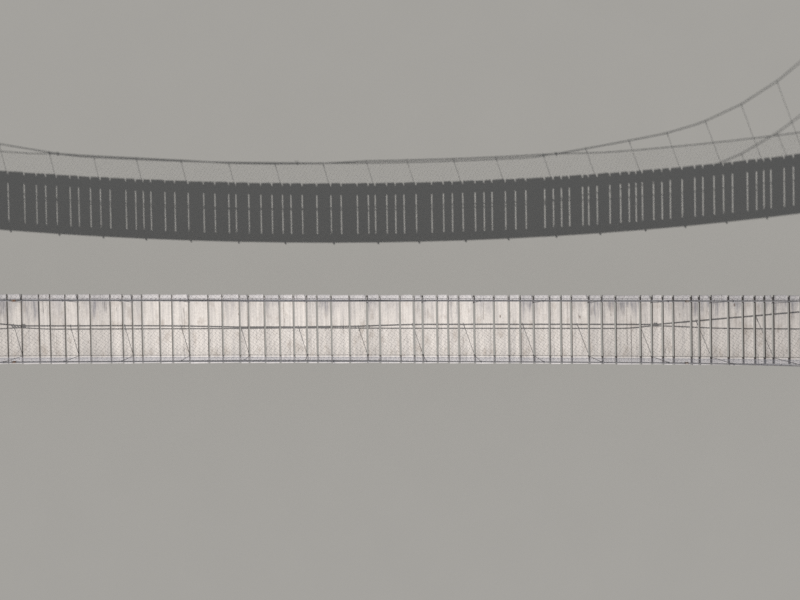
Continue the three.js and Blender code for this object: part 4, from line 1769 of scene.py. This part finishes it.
    def build_lashings(self, side: Side, finishes: Finishes) -> None:
        """Lashes the slack cable to the netting's rope, with one rough knot near midspan."""
        work = WireWork(self.lashing_wire, 1)
        draw = random.Random(self.lashing_seed + side.value)
        wander, pitch = self.lashing_wander, self.lashing_pitch
        places = [self.lashing_start + self.lashing_spacing * i for i in range(self.lashings)]
        runs = [(place + draw.uniform(-wander, wander), 3, pitch) for place in places]
        first = -self.clip_place - self.tie_down
        runs += [(first - self.tie_down_spacing * i, 4, pitch) for i in range(self.tie_downs)]
        runs += [(self.clip_place + 0.05, 5, pitch), (self.knot_place, 9, 0.0032)]
        for place, turns, step in runs:
            for turn in range(turns):
                slack = draw.uniform(*self.lashing_slack)
                work.add(self.loop_round(place + step * turn, side, slack), closed=True)
        rope = self.netting.point(self.knot_place, side, self.netting.rope_rise)
        for _ in range(self.knot_ends):
            start = rope + Vector((draw.uniform(-0.012, 0.02), 0.0, 0.012))
            bow = Vector((draw.uniform(-0.05, 0.05), side.value * draw.uniform(0.006, 0.024), 0.02))
            fall = Vector((draw.uniform(-0.03, 0.03), side.value * draw.uniform(0.01, 0.03), -0.03))
            work.add([start, start + bow * 0.5 + UP * 0.008, start + bow,
                      start + bow + fall * 0.6, start + bow + fall])
        dress(f"cable_lashings_{side.label}", work.mesh(), Slot.WIRE, finishes.edge_rope)

    def build(self, finishes: Finishes) -> None:
        """Builds both sides."""
        lines = self.deck.plan.hanger_lines(self.deck.line)
        stirrup = Stirrup(self.deck)
        for side in Side:
            Cable("main", self.radius).build(side, self.path(side, lines), finishes)
            self.build_hangers(side, lines, finishes)
            self.build_clips(side, finishes)
            self.build_lashings(side, finishes)
            bars = Piece(f"stirrups_{side.label}", Slot.STEEL, finishes.steel)
            bolts = Piece(f"stirrup_bolts_{side.label}", Slot.STEEL, finishes.fittings)
            for x in lines:
                stirrup.add_to(bars, bolts, self.hanger_foot_place(x, side), side)
            bars.complete(f"main_cable_{side.label}")
            bolts.complete()


@dataclass
class DeckCables:
    """The two ropes under the stringers, which turn down over the transoms to the anchors."""

    deck: BoardDeck
    ends: CableEnds
    radius: float = 0.012
    line_place: float = 0.5125
    turn_radius: float = 0.06

    @property
    def rise(self) -> float:
        """Height of the ropes' middle from the boards' top, just under the stringers."""
        deck = self.deck
        return -(deck.thickness + deck.stringer_depth + deck.joint_gap + self.radius)

    def path(self, side: Side) -> list[Vector]:
        """The rope's whole path, from pin to pin."""
        line, ends = self.deck.line, self.ends
        y = side.value * self.line_place
        lines = [-line.end, *self.deck.plan.lines(line), line.end]
        under = [line.point(x, y, self.rise) for x in lines]
        centre = line.point(line.end, y, self.rise - self.turn_radius)
        leave = ends.leaving_angle(centre, self.turn_radius)
        tilt = math.atan(line.slope(line.end))
        turn = ends.round_turn(centre, self.turn_radius, -tilt, leave)
        return ends.whole_path(under, [*turn[1:], ends.pin(y)])

    def build(self, finishes: Finishes) -> None:
        """Builds both sides' ropes and sockets."""
        for side in Side:
            Cable("deck", self.radius).build(side, self.path(side), finishes)


# Towers


@dataclass
class Tower:
    """One end's portal: posts on footings, cap beam, transom, braces and saddles."""

    end: End
    ends: CableEnds
    cables: DeckCables
    post_size: float = 0.2
    post_line: float = 0.74
    post_top: float = 5.3
    cap_height: float = 0.16
    cap_half: float = 0.98
    transom_half: float = 0.9
    transom_depth: float = 0.2
    transom_clearance: float = 0.001
    transom_outer: float = 12.26
    transom_bolts: float = 12.2
    transom_bolt_line: float = 0.05
    brace: float = 0.045
    brace_clearance: float = 0.0011
    cross_width: float = 0.15
    cross_foot: float = 0.52
    cross_head: float = 2.82
    cross_bolts: Point2 = (-0.035, 0.05)
    knee_width: float = 0.12
    knee_foot: Point2 = (0.76, 4.76)
    knee_head: Point2 = (0.33, 5.385)
    knee_foot_bolts: Point2 = (0.05, 0.12)
    knee_head_bolts: Point2 = (0.03, 0.095)
    footing_size: float = 0.52
    footing_height: float = 0.3
    footing_chamfer: float = 0.022
    gap: float = 0.0004
    worn_edge: float = 0.006
    wear: float = 0.0016
    iron: float = 0.008
    iron_gap: float = 0.0005
    iron_edge: float = 0.0015
    shoe_width: float = 0.12
    shoe_height: float = 0.15
    shoe_foot: float = 0.11
    shoe_bolt_line: float = 0.035
    shoe_bolt_level: float = 0.095
    shoe_bolt_reach: float = 0.0745
    strap_width: float = 0.07
    strap_height: float = 0.36
    strap_drop: float = 0.03
    strap_bolts: tuple[float, ...] = (-0.16, -0.08, 0.1)
    saddle_base: Point2 = (0.196, 0.12)
    saddle_bolts: Point2 = (0.082, 0.042)
    saddle_plate: float = 0.012
    saddle_half: float = 0.024
    groove_half: float = 0.014
    groove_drop: float = 0.0097
    wall_rise: float = 0.0084
    overlap: float = 0.002

    @property
    def x(self) -> float:
        """The tower's place along the bridge."""
        return self.end.value * self.ends.tower

    @property
    def outwards(self) -> Vector:
        """The direction from midspan to this end."""
        return Vector((self.end.value, 0, 0))

    def beam(self, start: Vector, end: Vector, width: float, depth: float,
             seed: float) -> tuple[Shape, Matrix]:
        """Makes a straight timber with worn edges, its grain along its length.

        Args:
            start: The middle of one end face.
            end: The middle of the other.
            width: Its size across, in the plane square to X.
            depth: Its size along X.
            seed: Makes its unevenness its own.

        Returns:
            The shape and its place.
        """
        length = (end - start).length
        shape = Shape.block(depth, length, width).divide(1, length, 16).bevel(self.worn_edge, 2)

        def worn(place: Vector) -> Vector:
            """Moves a point of the plain timber inwards by its slight unevenness."""
            x, z = (abs(noise.noise(Vector((place.y * 2.1, seed, row)))) for row in (0.5, 7.5))
            return place - self.wear * Vector((math.copysign(x, place.x), 0,
                                               math.copysign(z, place.z)))

        shape.bend(worn)
        run = (end - start).normalized()
        axis = Vector((1, 0, 0))
        turn = Matrix((axis, run, axis.cross(run))).transposed().to_4x4()
        return shape, moved(*(start + end) / 2) @ turn

    def build_timber(self, name: str, finish: Material, *beam: Vector | float) -> None:
        """Builds one timber that stands for the CAD node of the same name.

        Args:
            name: The node's name without the end's name.
            finish: Its material.
            *beam: Its ends, width and depth.
        """
        node = f"{self.end.label}_{name}"
        seed = sum(map(ord, node)) % 37 / 3
        piece = Piece(f"{node}_timber", Slot.TIMBER, finish)
        piece.gather(*self.beam(*beam, seed), seed=seed)
        piece.complete(node)

    def build_frame(self, finishes: Finishes) -> None:
        """Raises the posts, cap beam and plank braces."""
        reach = self.end.value * (self.post_size / 2 + self.gap + self.brace / 2)
        outer, inner, size = self.x + reach, self.x - reach, self.post_size
        timber = finishes.timber
        for side in Side:
            post = [Vector((self.x, side.value * self.post_line, z))
                    for z in (self.footing_height + self.gap, self.post_top)]
            self.build_timber(f"{side.label}_post", timber, *post, size, size)
            knee = [Vector((outer, side.value * place, z)) for place, z in
                    (self.knee_foot, self.knee_head)]
            self.build_timber(f"{side.label}_knee_brace", timber, *knee, self.knee_width,
                              self.brace)
        level = self.post_top + (self.cap_height + self.gap) / 2
        cap = [Vector((self.x, y, level)) for y in (-self.cap_half, self.cap_half)]
        self.build_timber("cap_beam", timber, *cap, self.cap_height - self.gap, size)
        piece = Piece(f"{self.end.label}_cross_brace_timber", Slot.TIMBER, timber)
        for sign, clearance in ((1, 0.0), (-1, self.brace_clearance)):
            seed, y = sign + 5.0, sign * self.post_line
            ends = Vector((inner, -y, self.cross_foot)), Vector((inner, y, self.cross_head))
            beam = self.beam(*ends, self.cross_width, self.brace - 2 * clearance, seed)
            piece.gather(*beam, seed=seed)
        piece.complete(f"{self.end.label}_cross_brace")

    def transom_top(self, x: float) -> float:
        """Height of the transom's top face at x, just under the deck cables."""
        line = self.cables.deck.line
        rise = self.cables.rise - self.cables.radius - self.transom_clearance
        return line.height(x) + rise * math.hypot(1, line.slope(x))

    def build_transom(self, finishes: Finishes) -> None:
        """Lays the transom under the deck's end, its top following the deck's slope."""
        near = self.ends.tower + self.post_size / 2 + self.gap
        far = self.transom_outer
        bottom = self.transom_top(near) - self.transom_depth
        outline = [(near, bottom), (far, bottom), (far, self.transom_top(far)),
                   (near, self.transom_top(near))]
        middle_x, middle_z = (near + far) / 2, bottom + self.transom_depth / 2
        own = [(self.end.value * (x - middle_x), z - middle_z) for x, z in outline]
        shape = Shape.plate(own, 2 * self.transom_half)
        shape.divide(1, 2 * self.transom_half, 16).bevel(self.worn_edge, 2)
        piece = Piece(f"{self.end.label}_transom_timber", Slot.TIMBER, finishes.timber)
        piece.gather(shape, moved(self.end.value * middle_x, 0, middle_z),
                     seed=3.3 + self.end.value)
        piece.complete(f"{self.end.label}_transom")

    def build_footings(self, finishes: Finishes) -> None:
        """Casts the footings, and fits the post shoes on them."""
        shoes = Piece(f"{self.end.label}_post_shoes", Slot.STEEL, finishes.steel)
        for side in Side:
            y = side.value * self.post_line
            node = f"{self.end.label}_{side.label}_footing"
            piece = Piece(f"{node}_cast", Slot.CONCRETE, finishes.concrete)
            shape = Shape.block(self.footing_size, self.footing_size, self.footing_height)
            upper = self.footing_height / 2

            def at_top(edge: bmesh.types.BMEdge) -> bool:
                """Whether an edge runs round the footing's top."""
                return all(vertex.co.z > upper - NEAR for vertex in edge.verts)

            shape.bevel(self.footing_chamfer, 1, at_top).bevel(0.006, 2)
            piece.gather(shape, moved(self.x, y, upper))
            piece.complete(node)
            for sign in (1, -1):
                self.fit_shoe(shoes, y, sign)
        shoes.complete()

    def fit_shoe(self, shoes: Piece, y: float, sign: int) -> None:
        """Fits one angle iron between a post and its footing.

        Args:
            shoes: The piece of all the tower's shoes.
            y: The post's place across the bridge.
            sign: 1 for the post's face towards +X, -1 for the other.
        """
        face = self.x + sign * (self.post_size / 2 + self.iron_gap)
        base = self.footing_height
        level = base + self.iron_gap
        upright = Shape.block(self.iron, self.shoe_width, self.shoe_height)
        shoes.gather(upright.bevel(self.iron_edge, 2),
                     moved(face + sign * self.iron / 2, y, base + self.shoe_height / 2))
        foot = Shape.block(self.shoe_foot, self.shoe_width, self.iron)
        shoes.gather(foot.bevel(self.iron_edge, 2),
                     moved(face + sign * self.shoe_foot / 2, y, level + self.iron / 2))
        for offset in (-self.shoe_bolt_line, self.shoe_bolt_line):
            seat = Vector((face + sign * self.iron, y + offset, base + self.shoe_bolt_level))
            Bolt().add_to(shoes, seat, Vector((sign, 0, 0)), offset * 20)
            seat = Vector((face + sign * self.shoe_bolt_reach, y + offset, level + self.iron))
            Bolt(stud=0.012).add_to(shoes, seat, UP, offset * 31)

    def bolt_seats(self) -> list[tuple[float, float, float, Vector]]:
        """Finds where the braces and the transom are bolted.

        Returns:
            Each seat's distance from midspan, its y and z, and the direction it faces.
        """
        inward, outward = -self.outwards, self.outwards
        reach = self.post_size / 2 + self.gap + self.brace
        plank_in, plank_out = self.ends.tower - reach, self.ends.tower + reach
        middle = (self.cross_foot + self.cross_head) / 2
        seats = [(plank_in, 0.0, middle, inward)]
        run = Vector((2 * self.post_line, self.cross_head - self.cross_foot)).normalized()
        foot, head = Vector(self.knee_foot), Vector(self.knee_head)
        knee = (head - foot).normalized()
        on_knee = [foot + knee * along for along in self.knee_foot_bolts]
        on_knee += [head - knee * along for along in self.knee_head_bolts]
        level = self.transom_top(self.transom_bolts) - self.transom_depth / 2
        for sign in (1, -1):
            for along in self.cross_bolts:
                y, z = self.post_line - run.x * along, self.cross_foot + run.y * along
                seats.append((plank_in, sign * y, z, inward))
                seats.append((plank_in, sign * y, 2 * middle - z, inward))
            seats += [(plank_out, sign * place.x, place.y, outward) for place in on_knee]
            seats += [(self.transom_outer - 0.0005, sign * (self.post_line + offset),
                       level - offset * 0.6, outward)
                      for offset in (-self.transom_bolt_line, self.transom_bolt_line)]
        return seats

    def build_bolts(self, finishes: Finishes) -> None:
        """Bolts the braces, transom and cap beam, and straps the post tops."""
        bolts = Piece(f"{self.end.label}_frame_bolts", Slot.STEEL, finishes.fittings)
        for i, (x, y, z, outwards) in enumerate(self.bolt_seats()):
            Bolt().add_to(bolts, Vector((self.end.value * x, y, z)), outwards, i * 0.7)
        inward = -self.end.value
        face = self.x + inward * (self.post_size / 2 + self.iron_gap)
        for side in Side:
            y = side.value * self.post_line
            strap = Shape.block(self.iron, self.strap_width, self.strap_height)
            bolts.gather(strap.bevel(self.iron_edge, 2),
                         moved(face + inward * self.iron / 2, y, self.post_top - self.strap_drop))
            for z in (self.post_top + place for place in self.strap_bolts):
                seat = Vector((face + inward * self.iron, y, z))
                Bolt().add_to(bolts, seat, -self.outwards, z)
        bolts.complete()

    def build_saddles(self, finishes: Finishes) -> None:
        """Sets the grooved saddles and their base plates on the cap beam."""
        base_top = self.post_top + self.cap_height + self.gap + self.saddle_plate
        centre, round_cable = self.ends.saddle_centre, self.ends.saddle_arc
        half, groove = self.saddle_half, self.groove_half
        walls = [(round_cable - self.groove_drop, 0.0, 2 * (groove + self.overlap))]
        walls += [(round_cable + self.wall_rise, sign * (half + groove) / 2, half - groove)
                  for sign in (1, -1)]
        for side in Side:
            node = f"{self.end.label}_{side.label}_saddle"
            piece = Piece(f"{node}_casting", Slot.STEEL, finishes.steel)
            y = side.value * self.ends.saddle_line
            base = Shape.block(*self.saddle_base, self.saddle_plate).bevel(0.002, 2)
            piece.gather(base, moved(self.x, y, base_top - self.saddle_plate / 2))
            for radius, middle, thickness in walls:
                reach = math.acos((base_top - self.overlap - centre) / radius)
                outline = [(x, centre + z) for z, x in arc(radius, -reach, reach, 32)]
                wall = Shape.plate(outline, thickness)
                if middle:
                    wall.bevel(0.0015, 2)
                piece.gather(wall, moved(self.x, y + middle))
            Bolt(0.022, 0.009, 0.015, 0.006).add_at_corners(
                piece, Vector((self.x, y, base_top)), self.saddle_bolts, 9)
            piece.complete(node)

    def build(self, finishes: Finishes) -> None:
        """Builds the whole tower."""
        self.build_footings(finishes)
        self.build_frame(finishes)
        self.build_transom(finishes)
        self.build_bolts(finishes)
        self.build_saddles(finishes)


# Anchors


@dataclass
class Anchor:
    """One end's concrete block and the two plates that hold the cable pins."""

    end: End
    ends: CableEnds
    near: float = 15.5
    far: float = 16.9
    half_width: float = 1.0
    height: float = 0.7
    chamfer: float = 0.06
    cable_lines: Point2 = (0.5125, 0.598)
    plate: float = 0.02
    plate_length: float = 0.26
    margin: float = 0.06
    tab: float = 0.016
    tab_radius: float = 0.045
    tab_foot: float = 0.075
    bolts: Point2 = (0.105, 0.075)
    gap: float = 0.0004
    overlap: float = 0.002

    def build_block(self, finishes: Finishes) -> None:
        """Casts the block, its long upper edges chamfered."""
        reach = (self.far - self.near) / 2
        shoulder, edge = self.height - self.chamfer, reach - self.chamfer
        outline = [(-reach, 0), (reach, 0), (reach, shoulder), (edge, self.height),
                   (-edge, self.height), (-reach, shoulder)]
        shape = Shape.plate(outline, 2 * self.half_width).bevel(0.008, 2)
        node = f"{self.end.label}_anchor_block"
        piece = Piece(f"{node}_cast", Slot.CONCRETE, finishes.concrete)
        piece.gather(shape, moved(self.end.value * (self.near + self.far) / 2))
        piece.complete(node)

    def build_plates(self, finishes: Finishes) -> None:
        """Bolts the anchor plates on the block, each with its two tabs."""
        seat = self.height + self.gap
        low = self.height + self.plate - self.overlap - self.ends.pin_height
        outline = [*arc(self.tab_radius, 0, math.pi, 16), (-self.tab_foot, low),
                   (self.tab_foot, low)]
        width = self.cable_lines[1] - self.cable_lines[0] + 2 * self.margin
        x = self.end.value * self.ends.pin_place
        for side in Side:
            node = f"{self.end.label}_{side.label}_anchor_plate"
            piece = Piece(f"{node}_steel", Slot.STEEL, finishes.steel)
            y = side.value * sum(self.cable_lines) / 2
            base = Shape.block(self.plate_length, width, self.plate).bevel(0.002, 2)
            piece.gather(base, moved(x, y, seat + self.plate / 2))
            for cable in self.cable_lines:
                tab = Shape.plate(outline, self.tab).bevel(0.0015, 2)
                piece.gather(tab, moved(x, side.value * cable, self.ends.pin_height))
            Bolt(0.03, 0.014, 0.024, 0.018).add_at_corners(
                piece, Vector((x, y, seat + self.plate)), self.bolts, 7)
            piece.complete(node)

    def build(self, finishes: Finishes) -> None:
        """Builds the block and its plates."""
        self.build_block(finishes)
        self.build_plates(finishes)


# Studio


@dataclass
class Studio:
    """The plain floor, the soft light and the camera above the deck."""

    floor_radius: float = 140.0
    floor_drop: float = 0.001
    floor_colour: Colour = (0.305, 0.297, 0.28)
    floor_mottle: float = 0.96
    fill: float = 0.33
    fill_colour: Colour = (0.93, 0.96, 1.0)
    sun_strength: float = 4.05
    sun_colour: Colour = (1.0, 0.985, 0.96)
    sun_spread: float = math.radians(0.53)
    light_travel: Vector = field(default_factory=lambda: Vector((-0.38, 0.98, -1.0)))
    camera_place: Vector = field(default_factory=lambda: Vector((0.796, 0.6107, 12.21)))
    camera_tilt: float = math.radians(0.6457)
    camera_roll: float = math.radians(0.07)
    lens: float = 25.38
    sensor: float = 36.0
    sight: float = 500.0

    def build_floor(self) -> None:
        """Lays the floor and marks it as stage."""
        paint = Painter("studio_floor", roughness=0.95)
        soft = paint.cloud(paint.object_place(), 0.8, 3.0)
        shade = tuple(value * self.floor_mottle for value in self.floor_colour)
        disc = bmesh.new()
        bmesh.ops.create_circle(disc, cap_ends=True, segments=96, radius=self.floor_radius)
        mesh = bpy.data.meshes.new("studio_floor")
        disc.to_mesh(mesh)
        disc.free()
        mesh.materials.append(paint.finish(paint.blend(soft, self.floor_colour, shade)))
        floor = add_object("studio_floor", mesh)
        floor.location.z = -self.floor_drop
        floor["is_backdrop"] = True

    def build_light(self) -> None:
        """Sets the sun and the even light of the surroundings."""
        sun = bpy.data.lights.new("sun", "SUN")
        sun.energy = self.sun_strength
        sun.angle = self.sun_spread
        sun.color = self.sun_colour
        carrier = add_object("sun", sun)
        carrier.rotation_mode = "QUATERNION"
        carrier.rotation_quaternion = self.light_travel.to_track_quat("-Z", "Y")
        world = bpy.data.worlds.new("studio")
        world.use_nodes = True
        surroundings = world.node_tree.nodes["Background"]
        surroundings.inputs["Color"].default_value = (*self.fill_colour, 1.0)
        surroundings.inputs["Strength"].default_value = self.fill
        bpy.context.scene.world = world

    def build_camera(self) -> None:
        """Hangs the camera above the deck, a little aslant to the south."""
        camera = bpy.data.cameras.new("camera")
        camera.lens = self.lens
        camera.sensor_width = self.sensor
        camera.clip_end = self.sight
        carrier = add_object("camera", camera)
        carrier.location = self.camera_place
        carrier.rotation_euler = (-self.camera_tilt, 0.0, self.camera_roll)
        bpy.context.scene.camera = carrier

    def build(self) -> None:
        """Builds the studio, and keeps the netting's fine shadow from being smoothed away."""
        bpy.context.scene.view_settings.view_transform = "Standard"
        bpy.context.scene.cycles.use_denoising = False
        self.build_floor()
        self.build_light()
        self.build_camera()


def write_sizes(frame_box: tuple[Vector, Vector]) -> None:
    """Works out the frame's box and the visual model's box as plain lists.

    Args:
        frame_box: The box from straight after the frame was loaded.
    """
    boxes = {"cad": frame_box, "visual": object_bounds()}
    plain = {name: [list(corner) for corner in box] for name, box in boxes.items()}


def main() -> None:
    """Builds the bridge and the studio in order."""
    logging.basicConfig(level=logging.INFO, format="%(name)s %(message)s")
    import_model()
    frame_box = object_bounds()
    studio = Studio()
    studio.build()
    finishes = Finishes()
    line, plan, ends = DeckLine(), BayPlan(), CableEnds()
    deck = BoardDeck(line, plan)
    netting = Netting(line)
    deck.build(finishes)
    netting.build(finishes)
    MainCables(deck, ends, netting).build(finishes)
    deck_cables = DeckCables(deck, ends)
    deck_cables.build(finishes)
    for end in End:
        Tower(end, ends, deck_cables).build(finishes)
        Anchor(end, ends).build(finishes)
    write_sizes(frame_box)


if __name__ == "__main__":
    main()
